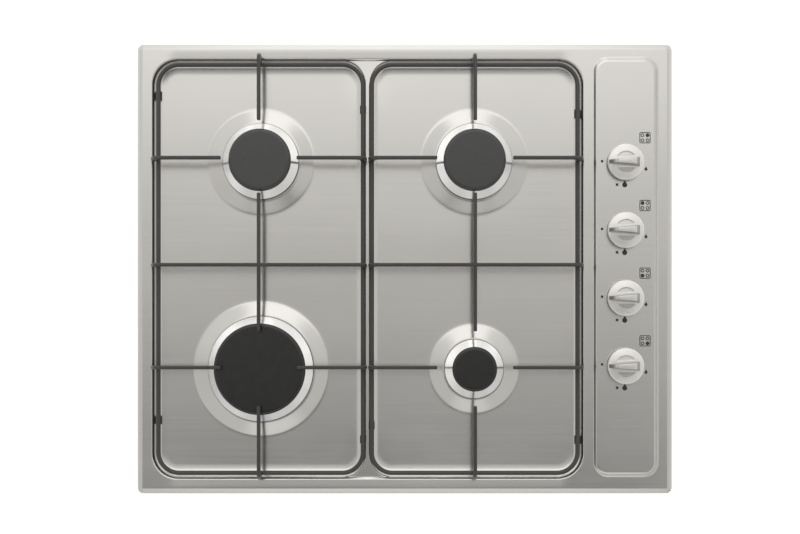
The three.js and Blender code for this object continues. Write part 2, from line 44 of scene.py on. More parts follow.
# ------------------------------------------------------------------ dimensions, mm
PLATE_X, PLATE_Y, PLATE_R = 595.0, 500.0, 7.0
SEAT_Z, RIM_Z, WELL_Z, RIDGE_Z, PANEL_Z = 44.0, 50.0, 42.0, 48.2, 52.5
WELL = dict(x0=-281.9, x1=199.6, y0=-234.5, y1=234.5, r=30.0)
RIDGE_X0, RIDGE_X1 = -44.2, -38.6
PANEL = dict(x0=209.0, x1=281.8, y0=-231.2, y1=235.4, r=16.5)
RING_Z, RING_R, RING_CORNER = 52.0, 2.55, 23.0
SUPPORTS = {
    "left": dict(x0=-272.9, x1=-46.3, y0=-226.1, y1=226.0, ox0=4.1, ox1=1.9),
    "right": dict(x0=-36.6, x1=191.4, y0=-226.1, y1=226.0, ox0=1.1, ox1=3.0),
}
BAR_TOP, BAR_LOW, BAR_W, LEG_W, CROSS_Y = 72.0, 67.0, 4.0, 7.75, 3.5
TIP = dict(side=41.5, rear=42.3, mid_rear=37.0, mid_front=41.6, front=40.0)
SEMI = dict(rc=42.5, cap=34.35, col=30.4, dish=58.5, fl=39.0, bowl=25.2, low=23.4, slots=30)
RAPID = dict(rc=58.7, cap=50.45, col=44.0, dish=74.75, fl=53.0, bowl=38.8, low=37.0, slots=44)
AUX = dict(rc=33.0, cap=24.65, col=20.4, dish=49.5, fl=29.0, bowl=12.2, low=13.4, slots=20)
BURNERS = {
    "rear_left": (-159.8, 119.4, SEMI),
    "rear_right": (77.0, 119.4, SEMI),
    "front_left": (-159.8, -111.0, RAPID),
    "front_right": (77.0, -111.0, AUX),
}
DISH_Z, CROWN_LOW, CROWN_LIP, PORT_TOP, CAP_TOP, GAP = 46.0, 47.1, 50.3, 58.6, 64.0, 0.3
KNOB_X, KNOB_Y = 243.8, [117.4, 42.4, -32.6, -107.6]
KNOB_LOW, KNOB_R, KNOB_TOP = 56.3, 20.0, 71.6


# ------------------------------------------------------------------ mesh helpers
def make(name, verts, faces, smooth=True, sharp=None):
    me = bpy.data.meshes.new(name)
    me.from_pydata([tuple(v) for v in np.asarray(verts, dtype=float) * MM], [], faces)
    me.update()
    me.polygons.foreach_set("use_smooth", [bool(smooth)] * len(me.polygons))
    ob = bpy.data.objects.new(name, me)
    SCENE.collection.objects.link(ob)
    if sharp is not None:
        me.set_sharp_from_angle(angle=math.radians(sharp))
    return ob


def outward(ob):
    bm = bmesh.new()
    bm.from_mesh(ob.data)
    bmesh.ops.recalc_face_normals(bm, faces=bm.faces)
    bm.to_mesh(ob.data)
    bm.free()


def bake_mods(ob, sharp=None):
    """Turns the object's modifiers into its mesh."""
    dg = bpy.context.evaluated_depsgraph_get()
    dg.update()
    me = bpy.data.meshes.new_from_object(ob.evaluated_get(dg))
    old = ob.data
    ob.modifiers.clear()
    ob.data = me
    me.name = ob.name
    bpy.data.meshes.remove(old)
    me.polygons.foreach_set("use_smooth", [True] * len(me.polygons))
    if sharp is not None:
        me.set_sharp_from_angle(angle=math.radians(sharp))


def bevel(ob, width, segments=2, angle=50.0):
    m = ob.modifiers.new("bevel", "BEVEL")
    m.width, m.segments, m.limit_method = width * MM, segments, "ANGLE"
    m.angle_limit = math.radians(angle)
    m.use_clamp_overlap = True
    m.harden_normals = False
    bake_mods(ob)


def combine(ob, others, how):
    """Boolean of ob with each of the others, which are used up."""
    for o in others:
        m = ob.modifiers.new("bool", "BOOLEAN")
        m.operation, m.object, m.solver = how, o, "MANIFOLD"
    bake_mods(ob)
    for o in others:
        me = o.data
        bpy.data.objects.remove(o)
        bpy.data.meshes.remove(me)


def arc(cx, cz, r, a0, a1, n):
    return [(cx + r * math.cos(math.radians(a0 + (a1 - a0) * i / n)), cz + r * math.sin(math.radians(a0 + (a1 - a0) * i / n))) for i in range(n + 1)]


def lathe(name, profile, seg, x=0.0, y=0.0, sharp=35.0):
    """Turned shape about a vertical axis from [radius, z] points, closed on the axis or into a ring."""
    ring = not (profile[0][0] == 0 and profile[-1][0] == 0)
    verts, rows = [], []
    for r, z in profile:
        if r == 0:
            rows.append([len(verts)])
            verts.append((x, y, z))
        else:
            rows.append(list(range(len(verts), len(verts) + seg)))
            for i in range(seg):
                a = 2 * math.pi * i / seg
                verts.append((x + r * math.cos(a), y + r * math.sin(a), z))
    faces = []
    pairs = list(zip(rows, rows[1:])) + ([(rows[-1], rows[0])] if ring else [])
    for a, b in pairs:
        for i in range(seg):
            j = (i + 1) % seg
            if len(a) == 1 and len(b) == 1:
                continue
            if len(a) == 1:
                faces.append((a[0], b[i], b[j]))
            elif len(b) == 1:
                faces.append((a[i], b[0], a[j]))
            else:
                faces.append((a[i], b[i], b[j], a[j]))
    ob = make(name, verts, faces)
    outward(ob)
    ob.data.set_sharp_from_angle(angle=math.radians(sharp))
    return ob


def fillet(points, radii, n=4):
    """A polyline of [r, z] points with its inner corners rounded; radii has one entry per point, 0 for none."""
    out = []
    for i, p in enumerate(points):
        rad = radii[i]
        if rad == 0 or i in (0, len(points) - 1):
            out.append(tuple(p))
            continue
        p0, p1, p2 = np.array(points[i - 1], float), np.array(p, float), np.array(points[i + 1], float)
        d0, d1 = p0 - p1, p2 - p1
        l0, l1 = np.linalg.norm(d0), np.linalg.norm(d1)
        d0, d1 = d0 / l0, d1 / l1
        ang = math.acos(max(-1, min(1, float(d0 @ d1))))
        t = min(rad / math.tan(ang / 2), l0 * 0.49, l1 * 0.49)
        a, b = p1 + d0 * t, p1 + d1 * t
        for k in range(n + 1):
            u = k / n
            q = (1 - u) ** 2 * a + 2 * u * (1 - u) * p1 + u * u * b
            out.append((float(q[0]), float(q[1])))
    return out


def extrude(name, outline, w, along, u0, v, width=0.0, segments=2):
    """A plate in a vertical plane: outline [u, z] along X or Y from u0, w thick and centred on v, edges rounded."""
    n = len(outline)
    verts = []
    for side in (-w / 2, w / 2):
        for u, z in outline:
            verts.append((u0 + u, v + side, z) if along == "x" else (v + side, u0 + u, z))
    faces = [tuple(range(n - 1, -1, -1)), tuple(range(n, 2 * n))]
    for i in range(n):
        j = (i + 1) % n
        faces.append((i, j, n + j, n + i))
    ob = make(name, verts, faces)
    outward(ob)
    if width:
        bevel(ob, width, segments, 50.0)
    return ob


def sweep_ring(name, x0, x1, y0, y1, r, radius, z, corner=20, seg=20):
    """Round wire bent into a rounded rectangle."""
    path = []
    for cx, cy, a0 in ((x1 - r, y0 + r, -90), (x1 - r, y1 - r, 0), (x0 + r, y1 - r, 90), (x0 + r, y0 + r, 180)):
        for i in range(corner + 1):
            a = math.radians(a0 + 90 * i / corner)
            path.append((cx, cy, math.cos(a), math.sin(a)))
    verts, faces, m = [], [], len(path)
    for cx, cy, ca, sa in path:
        for k in range(seg):
            b = 2 * math.pi * k / seg
            d, dz = radius * math.cos(b), radius * math.sin(b)
            verts.append((cx + (r + d) * ca, cy + (r + d) * sa, z + dz))
    for i in range(m):
        for k in range(seg):
            a, b = i * seg + k, i * seg + (k + 1) % seg
            c, d = ((i + 1) % m) * seg + k, ((i + 1) % m) * seg + (k + 1) % seg
            faces.append((a, c, d, b))
    ob = make(name, verts, faces)
    outward(ob)
    return ob


def sstep(t):
    t = np.clip(t, 0, 1)
    return t * t * (3 - 2 * t)


def smin(a, b, k):
    h = np.clip(0.5 + 0.5 * (b - a) / np.maximum(k, 1e-6), 0, 1)
    return b * (1 - h) + a * h - k * h * (1 - h)


# ------------------------------------------------------------------ materials
def material(name):
    m = bpy.data.materials.new(name)
    m.use_nodes = True
    nt = m.node_tree
    nt.nodes.clear()
    out = nt.nodes.new("ShaderNodeOutputMaterial")
    p = nt.nodes.new("ShaderNodeBsdfPrincipled")
    nt.links.new(p.outputs[0], out.inputs[0])
    return m, nt, p


def node(nt, kind, **kw):
    n = nt.nodes.new(kind)
    for k, v in kw.items():
        if hasattr(n, k):
            setattr(n, k, v)
        else:
            n.inputs[k.replace("_", " ")].default_value = v
    return n


def coords(nt, scale, rot=(0, 0, 0)):
    """Object coordinates in metres, scaled."""
    t = nt.nodes.new("ShaderNodeTexCoord")
    mp = nt.nodes.new("ShaderNodeMapping")
    mp.inputs["Scale"].default_value = scale
    mp.inputs["Rotation"].default_value = rot
    nt.links.new(t.outputs["Object"], mp.inputs["Vector"])
    return mp.outputs[0]


def noise(nt, vec, scale=1.0, detail=3.0, rough=0.55, distortion=0.0):
    n = nt.nodes.new("ShaderNodeTexNoise")
    n.inputs["Scale"].default_value = scale
    n.inputs["Detail"].default_value = detail
    n.inputs["Roughness"].default_value = rough
    n.inputs["Distortion"].default_value = distortion
    nt.links.new(vec, n.inputs["Vector"])
    return n.outputs["Fac"]


def ramp(nt, fac, stops):
    r = nt.nodes.new("ShaderNodeValToRGB")
    e = r.color_ramp.elements
    while len(e) > len(stops):
        e.remove(e[-1])
    while len(e) < len(stops):
        e.new(1.0)
    for el, (pos, col) in zip(e, stops):
        el.position = pos
        el.color = (*col, 1.0) if len(col) == 3 else col
    nt.links.new(fac, r.inputs[0])
    return r.outputs[0]


def map_range(nt, fac, lo, hi, f0=0.0, f1=1.0):
    m = nt.nodes.new("ShaderNodeMapRange")
    m.inputs["From Min"].default_value, m.inputs["From Max"].default_value = f0, f1
    m.inputs["To Min"].default_value, m.inputs["To Max"].default_value = lo, hi
    nt.links.new(fac, m.inputs["Value"])
    return m.outputs[0]


def add_bump(nt, p, height, strength, distance, prev=None):
    b = nt.nodes.new("ShaderNodeBump")
    b.inputs["Strength"].default_value = strength
    b.inputs["Distance"].default_value = distance
    nt.links.new(height, b.inputs["Height"])
    if prev is not None:
        nt.links.new(prev, b.inputs["Normal"])
    nt.links.new(b.outputs[0], p.inputs["Normal"])
    return b.outputs[0]


def shade(v, k=1.0):
    return tuple(min(1.0, c * k) for c in v)


def brushed(name, base, rough, aniso, streak=1.0, bump=0.05):
    """Steel sheet brushed along X."""
    m, nt, p = material(name)
    p.inputs["Metallic"].default_value = 1.0
    p.inputs["Anisotropic"].default_value = aniso
    tan = nt.nodes.new("ShaderNodeTangent")
    tan.direction_type, tan.uv_map = "UV_MAP", "brush"
    nt.links.new(tan.outputs[0], p.inputs["Tangent"])
    fine = noise(nt, coords(nt, (14, 2600, 2600)), 1.0, 3.0, 0.6)
    mid = noise(nt, coords(nt, (3.0, 420, 420)), 1.0, 4.0, 0.6)
    cloud = noise(nt, coords(nt, (9, 13, 11)), 1.0, 3.0, 0.5)
    mix = nt.nodes.new("ShaderNodeMix")
    mix.data_type = "FLOAT"
    mix.inputs[0].default_value = 0.45
    nt.links.new(fine, mix.inputs[2])
    nt.links.new(mid, mix.inputs[3])
    col = ramp(nt, mix.outputs[0], [(0.28, shade(base, 1 - 0.03 * streak)), (0.5, base), (0.72, shade(base, 1 + 0.025 * streak))])
    nt.links.new(col, p.inputs["Base Color"])
    sm = nt.nodes.new("ShaderNodeMath")
    sm.operation = "ADD"
    nt.links.new(map_range(nt, mix.outputs[0], rough - 0.02 * streak, rough + 0.02 * streak, 0.3, 0.7), sm.inputs[0])
    nt.links.new(map_range(nt, cloud, -0.02, 0.02, 0.3, 0.7), sm.inputs[1])
    nt.links.new(sm.outputs[0], p.inputs["Roughness"])
    add_bump(nt, p, mix.outputs[0], bump, 0.00008)
    return m


def turned(name, base, rough, cx, cy, aniso=0.0):
    """Turned aluminium: fine rings about the burner's own axis."""
    m, nt, p = material(name)
    p.inputs["Metallic"].default_value = 1.0
    t = nt.nodes.new("ShaderNodeTexCoord")
    mp = nt.nodes.new("ShaderNodeMapping")
    mp.inputs["Location"].default_value = (-cx * MM, -cy * MM, 0)
    nt.links.new(t.outputs["Object"], mp.inputs["Vector"])
    flat = nt.nodes.new("ShaderNodeVectorMath")
    flat.operation = "MULTIPLY"
    flat.inputs[1].default_value = (1, 1, 0)
    nt.links.new(mp.outputs[0], flat.inputs[0])
    ln = nt.nodes.new("ShaderNodeVectorMath")
    ln.operation = "LENGTH"
    nt.links.new(flat.outputs[0], ln.inputs[0])
    comb = nt.nodes.new("ShaderNodeCombineXYZ")
    nt.links.new(ln.outputs["Value"], comb.inputs[0])
    sc = nt.nodes.new("ShaderNodeVectorMath")
    sc.operation = "SCALE"
    sc.inputs["Scale"].default_value = 1.0
    nt.links.new(comb.outputs[0], sc.inputs[0])
    rings = noise(nt, sc.outputs[0], 2300, 2.0, 0.6)
    grain = noise(nt, coords(nt, (900, 900, 900)), 1.0, 2.0, 0.5)
    cloud = noise(nt, coords(nt, (60, 60, 60)), 1.0, 2.0, 0.5)
    mix = nt.nodes.new("ShaderNodeMix")
    mix.data_type = "FLOAT"
    mix.inputs[0].default_value = 0.3
    nt.links.new(rings, mix.inputs[2])
    nt.links.new(grain, mix.inputs[3])
    nt.links.new(ramp(nt, mix.outputs[0], [(0.25, shade(base, 0.9)), (0.55, base), (0.8, shade(base, 1.05))]), p.inputs["Base Color"])
    sm = nt.nodes.new("ShaderNodeMath")
    sm.operation = "ADD"
    nt.links.new(map_range(nt, mix.outputs[0], rough - 0.04, rough + 0.05, 0.3, 0.7), sm.inputs[0])
    nt.links.new(map_range(nt, cloud, -0.02, 0.03, 0.3, 0.7), sm.inputs[1])
    nt.links.new(sm.outputs[0], p.inputs["Roughness"])
    p.inputs["Anisotropic"].default_value = aniso
    p.inputs["Anisotropic Rotation"].default_value = 0.25
    tan = nt.nodes.new("ShaderNodeTangent")
    tan.direction_type, tan.axis = "RADIAL", "Z"
    nt.links.new(tan.outputs[0], p.inputs["Tangent"])
    add_bump(nt, p, mix.outputs[0], 0.08, 0.00006)
    return m


def grainy(name, base, rough, metallic, scale=700, bump=0.15, dist=0.0001, var=0.08, cloud_scale=40, coat=0.0, spec=0.5, dirt=0.0):
    """Cast, moulded, enamelled or plated surface: fine grain, slow mottling, a little roughness change."""
    m, nt, p = material(name)
    p.inputs["Metallic"].default_value = metallic
    p.inputs["Specular IOR Level"].default_value = spec
    if coat:
        p.inputs["Coat Weight"].default_value = coat
        p.inputs["Coat Roughness"].default_value = 0.2
    grain = noise(nt, coords(nt, (scale, scale, scale)), 1.0, 3.0, 0.6)
    cloud = noise(nt, coords(nt, (cloud_scale,) * 3), 1.0, 3.0, 0.55)
    mix = nt.nodes.new("ShaderNodeMix")
    mix.data_type = "FLOAT"
    mix.inputs[0].default_value = 0.65
    nt.links.new(grain, mix.inputs[2])
    nt.links.new(cloud, mix.inputs[3])
    nt.links.new(ramp(nt, mix.outputs[0], [(0.3, shade(base, 1 - var)), (0.5, base), (0.72, shade(base, 1 + var))]), p.inputs["Base Color"])
    nt.links.new(map_range(nt, mix.outputs[0], rough - 0.05, rough + 0.06, 0.3, 0.7), p.inputs["Roughness"])
    add_bump(nt, p, grain, bump, dist)
    return m


MAT = {}
MAT["stainless"] = brushed("stainless_brushed", (0.72, 0.71, 0.69), 0.215, 0.72, 1.0, 0.012)
MAT["zinc"] = grainy("galvanised_sheet", (0.50, 0.51, 0.52), 0.42, 0.9, 260, 0.05, 0.00005, 0.14, 90)
MAT["enamel"] = grainy("grey_enamel", (0.044, 0.043, 0.040), 0.34, 0.0, 800, 0.10, 0.00006, 0.10, 120, coat=0.15)
# one black enamel in two copies: the rear caps' copy is lighter with more specular, painted light for the brighter
# reflection at the rear
MAT["cap"] = grainy("cap_enamel_front", (0.0022, 0.0022, 0.0022), 0.28, 0.0, 1500, 0.10, 0.00005, 0.16, 80, spec=0.8)
MAT["cap_rear_painted_light"] = grainy("cap_enamel_rear_painted_light", (0.0150, 0.0158, 0.0165), 0.28, 0.0, 1500, 0.10, 0.00005, 0.16, 80, spec=1.0)
MAT["rubber"] = grainy("black_rubber", (0.060, 0.058, 0.055), 0.72, 0.0, 900, 0.2, 0.0001, 0.2, 60, spec=0.35)
MAT["foam"] = grainy("foam_seal", (0.012, 0.012, 0.012), 0.9, 0.0, 1400, 0.5, 0.0003, 0.3, 200, spec=0.3)
MAT["cast"] = grainy("cast_aluminium", (0.60, 0.60, 0.59), 0.45, 0.85, 600, 0.22, 0.00012, 0.1, 50)
MAT["pipe"] = grainy("drawn_aluminium", (0.74, 0.74, 0.73), 0.33, 1.0, 400, 0.05, 0.00004, 0.06, 80)
MAT["brass"] = grainy("brass", (0.72, 0.53, 0.24), 0.32, 1.0, 700, 0.08, 0.00005, 0.08, 60)
MAT["steel"] = grainy("zinc_plated_steel", (0.56, 0.56, 0.55), 0.34, 1.0, 500, 0.08, 0.00005, 0.08, 70)
MAT["knob"] = grainy("silver_knob", (0.86, 0.85, 0.825), 0.31, 0.62, 260, 0.004, 0.00002, 0.03, 90, spec=0.5)
# darker copies of the knob material: painted shade on the grip's flanks, ends and top and in the finger recesses
MAT["flank"] = grainy("knob_flank_painted_shade", (0.40, 0.395, 0.38), 0.34, 0.75, 260, 0.004, 0.00002, 0.04, 90)
MAT["grip_end"] = grainy("knob_grip_end", (0.31, 0.305, 0.295), 0.32, 0.72, 260, 0.004, 0.00002, 0.04, 90)
MAT["grip_top"] = grainy("knob_grip_top", (0.73, 0.72, 0.70), 0.30, 0.70, 260, 0.004, 0.00002, 0.03, 90)
MAT["scoop"] = grainy("knob_recess_painted_shade", (0.58, 0.57, 0.55), 0.32, 0.66, 260, 0.004, 0.00002, 0.03, 90)
# darker copy of the crown aluminium: painted shade under the crown's lip
MAT["edge"] = grainy("crown_edge_painted_shade", (0.16, 0.155, 0.15), 0.4, 0.8, 900, 0.1, 0.00004, 0.12, 150)
MAT["ink"] = grainy("grey_print", (0.045, 0.043, 0.040), 0.6, 0.0, 1500, 0.1, 0.00002, 0.15, 300, spec=0.3)


def dress(ob, mat):
    ob.data.materials.clear()
    ob.data.materials.append(MAT[mat] if isinstance(mat, str) else mat)


def piece(ob, body, nodes, mat):
    dress(ob, mat)
    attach(ob, body)
    if nodes:
        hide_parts(*nodes)


# ------------------------------------------------------------------ top plate
def inset(ax, ay, r):
    """Distance inward from a rounded outline, given the distances to its nearest X and Y sides."""
    corner = (ax < r) & (ay < r)
    return np.where(corner, r - np.hypot(r - ax, r - ay), np.minimum(ax, ay))


def hermite(x, pts):
    """Smooth curve through (x, z, slope) points, flat outside them."""
    x = np.asarray(x, float)
    z = np.full_like(x, pts[0][1])
    z = np.where(x >= pts[-1][0], pts[-1][1], z)
    for (x0, z0, s0), (x1, z1, s1) in zip(pts, pts[1:]):
        h = x1 - x0
        t = np.clip((x - x0) / h, 0, 1)
        v = (2 * t ** 3 - 3 * t ** 2 + 1) * z0 + (t ** 3 - 2 * t ** 2 + t) * h * s0 + (-2 * t ** 3 + 3 * t ** 2) * z1 + (t ** 3 - t ** 2) * h * s1
        z = np.where((x >= x0) & (x < x1), v, z)
    return z


WALL = [(0.5, RIM_Z, 0.0), (1.6, 49.62, -0.72), (2.7, 48.72, -0.90), (8.0, 43.95, -0.88), (10.5, 42.78, -0.28), (14.2, 42.2, -0.11), (18.0, WELL_Z, 0.0)]
SAG = [(-8.5, 0.0, 0.0), (-5.5, 0.06, 0.042), (0.8, 0.36, 0.055), (1.6, 0.39, 0.0), (3.0, 0.38, 0.0), (9.0, 0.0, 0.0)]  # front and rear rims dip towards the wells
CREST = 3.28                                            # inset at which the wall passes the divider's height


def sheet_z(x, y):
    """Height of the sheet's upper face."""
    w = WELL
    ay = np.minimum(y - w["y0"], w["y1"] - y)
    i_all = inset(np.minimum(x - w["x0"], w["x1"] - x), ay, w["r"])
    a1 = RIDGE_X0 + CREST * 0.87
    b0 = RIDGE_X1 - CREST * 0.87
    i_left = inset(np.minimum(x - w["x0"], (a1 - x) / 0.87), ay, w["r"])
    i_right = inset(np.minimum((x - b0) / 0.87, w["x1"] - x), ay, w["r"])
    i_one = np.maximum(i_left, i_right)
    near = sstep(1 - (np.abs(x + 41.35) - 10) / 25.0)
    crest = np.maximum(hermite(i_all, WALL), RIDGE_Z)
    z = smin(hermite(i_one, WALL), crest, 1.0 * near)
    run_x = np.minimum(x - w["x0"], w["x1"] - x)
    sag = hermite(i_all, SAG) * (1 - near) + hermite(i_all, SAG[:-1] + [(60.0, 0.0, 0.0)]) * near
    z = z - sag * sstep((run_x - w["r"] + 16) / 16)
    # dishes
    for bx, by, k in BURNERS.values():
        rho = np.hypot(x - bx, y - by)
        up = k["rc"] + 1.2
        run = k["dish"] - up
        t = (k["dish"] - rho)
        cone = WELL_Z + (DISH_Z - WELL_Z) * t / run
        low = smin(np.full_like(cone, DISH_Z), np.maximum(cone, 0), 0.35)
        f = 0.30
        d = low - WELL_Z
        lift = 0.5 * (d + np.sqrt(d * d + f * f))
        lift = np.where(rho < k["dish"] + 3, lift * sstep((k["dish"] + 3 - rho) / 3.0), 0)
        z = z + np.where(rho < k["dish"] + 3, lift, 0)
    # raised control panel, its slope between two tight bends
    p = PANEL
    px, py = np.minimum(x - p["x0"], p["x1"] - x), np.minimum(y - p["y0"], p["y1"] - y)
    ip = inset(px, py, p["r"])
    # the slope is steep on the side of the wells and gentler on the others
    u, v = np.maximum(p["x0"] + p["r"] - x, 0), np.maximum(p["r"] - py, 0)
    steep = np.where(u > 0, u * u / np.maximum(u * u + v * v, 1e-9), 0)
    z_steep = hermite(ip, [(0.3, 0, 0), (0.8, 0.09, 0.40), (2.95, 0.95, 0.40), (3.3, 1.0, 0)])
    z_soft = hermite(ip, [(0.0, 0, 0), (0.5, 0.03, 0.12), (1.7, 0.19, 0.125), (2.1, 0.27, 0.28), (3.6, 0.73, 0.28), (4.0, 0.81, 0.125), (5.2, 0.96, 0.12), (5.7, 1.0, 0)])
    z = z + (PANEL_Z - RIM_Z) * (steep * z_steep + (1 - steep) * z_soft)
    # outer edge: a flat bevel, then a tight roll
    ie = inset(PLATE_X / 2 - np.abs(x), PLATE_Y / 2 - np.abs(y), PLATE_R)
    drop = hermite(ie, [(0.0, 3.4, -2.6), (1.1, 1.87, -0.42), (5.9, 0.07, -0.35), (6.4, 0.0, 0.0)])
    return z - drop


def stops(*bands):
    """Grid lines: (start, end, step) bands one after the other."""
    out = []
    for a, b, s in bands:
        n = max(1, int(round((b - a) / s)))
        out += [a + (b - a) * i / n for i in range(n)]
    out.append(bands[-1][1])
    return np.array(out)


def build_plate():
    gx = stops((-297.5, -291, 0.65), (-291, -281.5, 1.2), (-281.5, -279.5, 0.5), (-279.5, -250, 1.3), (-250, -238, 4), (-238, -222, 4), (-222, -98, 4.2), (-98, -82, 4),
               (-82, -68, 3.5), (-68, -13, 1.25), (-13, 15.1, 4), (15.1, 24.1, 4.5), (24.1, 130.1, 4.2), (130.1, 139.1, 4.5), (139.1, 168, 4),
               (168, 197.5, 1.3), (197.5, 199.5, 0.5), (199.5, 208.7, 1.5), (208.7, 213.5, 0.3), (213.5, 226, 0.8), (226, 235, 3.3), (235, 253, 3), (253, 265, 3.6),
               (265, 274, 0.9), (274, 282.3, 0.45), (282.3, 291, 1.9), (291, 297.5, 0.65))
    gy = stops((-250, -243.5, 0.65), (-243.5, -235.3, 1.6), (-235.3, -232.5, 0.45), (-232.5, -217, 0.8), (-217, -204, 1.3), (-204, -189, 4.5), (-189, -164, 4.2),
               (-164, -116.6, 4.2), (-116.6, -98.6, 3), (-98.6, -58, 4.1), (-58, -41.6, 4.1), (-41.6, -33, 4), (-33, -23.6, 3.4), (-23.6, 33.4, 4.2), (33.4, 51.4, 3),
               (51.4, 57.4, 2.8), (57.4, 108.4, 4.1), (108.4, 126.4, 3), (126.4, 181.4, 4.2), (181.4, 204, 4), (204, 220, 1.3), (220, 231.5, 0.8), (231.5, 238.3, 0.5),
               (238.3, 243.5, 1.3), (243.5, 250, 0.65))
    nx, ny = len(gx), len(gy)
    X, Y = np.meshgrid(gx, gy, indexing="ij")
    # plan corners: the square corner of the grid becomes a quarter disc
    cx, cy = PLATE_X / 2 - PLATE_R, PLATE_Y / 2 - PLATE_R
    u, v = np.abs(X) - cx, np.abs(Y) - cy
    m = (u > 0) & (v > 0)
    rs = np.maximum(u, v)
    with np.errstate(divide="ignore", invalid="ignore"):
        th = np.where(u >= v, math.pi / 4 * v / np.maximum(u, 1e-9), math.pi / 2 - math.pi / 4 * u / np.maximum(v, 1e-9))
    X = np.where(m, np.sign(X) * (cx + rs * np.cos(th)), X)
    Y = np.where(m, np.sign(Y) * (cy + rs * np.sin(th)), Y)

    wins = [(bx, by, h, k["col"] + 0.7, [k["dish"] + 3, k["dish"] + 1.2, k["dish"] + 0.2, k["dish"] - 0.8, k["dish"] - 2.2,
                                         (k["dish"] + k["rc"]) / 2 + 3, (k["dish"] + k["rc"]) / 2 - 1, k["rc"] + 3.2, k["rc"] + 1.9, k["rc"] + 0.9, k["rc"] - 0.4, k["rc"] - 5])
            for (bx, by, k), h in zip(BURNERS.values(), (62, 62, 78, 53))]
    wins += [(KNOB_X, y, 9, 6.5, [8.2, 7.2]) for y in KNOB_Y]
    idx = -np.ones((nx, ny), int)
    inside = np.zeros((nx - 1, ny - 1), bool)
    keep = np.ones((nx, ny), bool)
    spans = []
    for bx, by, h, hole, radii in wins:
        i0, i1 = int(np.argmin(abs(gx - (bx - h)))), int(np.argmin(abs(gx - (bx + h))))
        j0, j1 = int(np.argmin(abs(gy - (by - h)))), int(np.argmin(abs(gy - (by + h))))
        assert max(abs(gx[i0] - bx + h), abs(gx[i1] - bx - h), abs(gy[j0] - by + h), abs(gy[j1] - by - h)) < 0.6, (bx, by)
        inside[i0:i1, j0:j1] = True
        keep[i0 + 1:i1, j0 + 1:j1] = False
        spans.append((i0, i1, j0, j1))
    verts = []
    for i in range(nx):
        for j in range(ny):
            if keep[i, j]:
                idx[i, j] = len(verts)
                verts.append((X[i, j], Y[i, j]))
    faces = []
    for i in range(nx - 1):
        for j in range(ny - 1):
            if not inside[i, j]:
                faces.append((idx[i, j], idx[i + 1, j], idx[i + 1, j + 1], idx[i, j + 1]))
    rims = []
    for (bx, by, h, hole, radii), (i0, i1, j0, j1) in zip(wins, spans):
        loop = ([idx[i, j0] for i in range(i0, i1)] + [idx[i1, j] for j in range(j0, j1)]
                + [idx[i, j1] for i in range(i1, i0, -1)] + [idx[i0, j] for j in range(j1, j0, -1)])
        prev = loop
        P = np.array([verts[q] for q in loop]) - (bx, by)
        ang = np.arctan2(P[:, 1], P[:, 0])
        n = len(loop)
        even = ang[0] + np.arange(n) * 2 * math.pi / n
        even = ang + np.angle(np.exp(1j * (even - ang)))
        for q, rad in enumerate(radii + [hole]):
            mix = min(1.0, (q + 1) / 3)
            a = ang * (1 - mix) + even * mix
            ring = []
            for t in a:
                ring.append(len(verts))
                verts.append((bx + rad * math.cos(t), by + rad * math.sin(t)))
            for k in range(n):
                faces.append((prev[k], prev[(k + 1) % n], ring[(k + 1) % n], ring[k]))
            prev = ring
        rims.append(prev)
    V = np.array(verts)
    Z = sheet_z(V[:, 0], V[:, 1])
    e = 0.04
    gxn = (sheet_z(V[:, 0] + e, V[:, 1]) - sheet_z(V[:, 0] - e, V[:, 1])) / (2 * e)
    gyn = (sheet_z(V[:, 0], V[:, 1] + e) - sheet_z(V[:, 0], V[:, 1] - e)) / (2 * e)
    N = np.stack([-gxn, -gyn, np.ones_like(gxn)], 1)
    N /= np.linalg.norm(N, axis=1)[:, None]
    n0 = len(V)
    top = np.column_stack([V, Z])
    # the outline loop
    edge = ([idx[i, 0] for i in range(nx - 1)] + [idx[nx - 1, j] for j in range(ny - 1)]
            + [idx[i, ny - 1] for i in range(nx - 1, 0, -1)] + [idx[0, j] for j in range(ny - 1, 0, -1)])
    # lower face, one sheet thickness below; near the outline it is pulled in by the same amount
    lo = top.copy()
    ie = inset(PLATE_X / 2 - np.abs(V[:, 0]), PLATE_Y / 2 - np.abs(V[:, 1]), PLATE_R)
    pull = np.clip(1.0 - ie, 0, 1)
    en = np.zeros((n0, 2))
    uu, vv = np.abs(V[:, 0]) - cx, np.abs(V[:, 1]) - cy
    c = (uu > 0) & (vv > 0)
    ln = np.maximum(np.hypot(uu, vv), 1e-9)
    en[:, 0] = np.where(c, uu / ln, (PLATE_X / 2 - np.abs(V[:, 0]) <= PLATE_Y / 2 - np.abs(V[:, 1])) * 1.0) * np.sign(V[:, 0])
    en[:, 1] = np.where(c, vv / ln, (PLATE_X / 2 - np.abs(V[:, 0]) > PLATE_Y / 2 - np.abs(V[:, 1])) * 1.0) * np.sign(V[:, 1])
    lo[:, 0] -= en[:, 0] * pull
    lo[:, 1] -= en[:, 1] * pull
    lo[:, 2] = np.minimum(sheet_z(lo[:, 0], lo[:, 1]), Z + 0.0) - 1.0
    allv = [tuple(t) for t in top] + [tuple(t) for t in lo]
    F = list(faces) + [tuple(n0 + a for a in reversed(f)) for f in faces]
    # skirt down to the worktop
    skirt = []
    for k, q in enumerate(edge):
        skirt.append(len(allv))
        allv.append((top[q, 0], top[q, 1], SEAT_Z + 0.05))
    inner = []
    for k, q in enumerate(edge):
        inner.append(len(allv))
        allv.append((lo[q, 0], lo[q, 1], SEAT_Z + 0.05))
    ne = len(edge)
    for k in range(ne):
        l = (k + 1) % ne
        F.append((edge[l], edge[k], skirt[k], skirt[l]))
        F.append((skirt[l], skirt[k], inner[k], inner[l]))
        F.append((n0 + edge[k], n0 + edge[l], inner[l], inner[k]))
    for r in rims:
        n = len(r)
        for k in range(n):
            l = (k + 1) % n
            F.append((r[k], r[l], n0 + r[l], n0 + r[k]))
    ob = make("plate", allv, F)
    outward(ob)
    me = ob.data
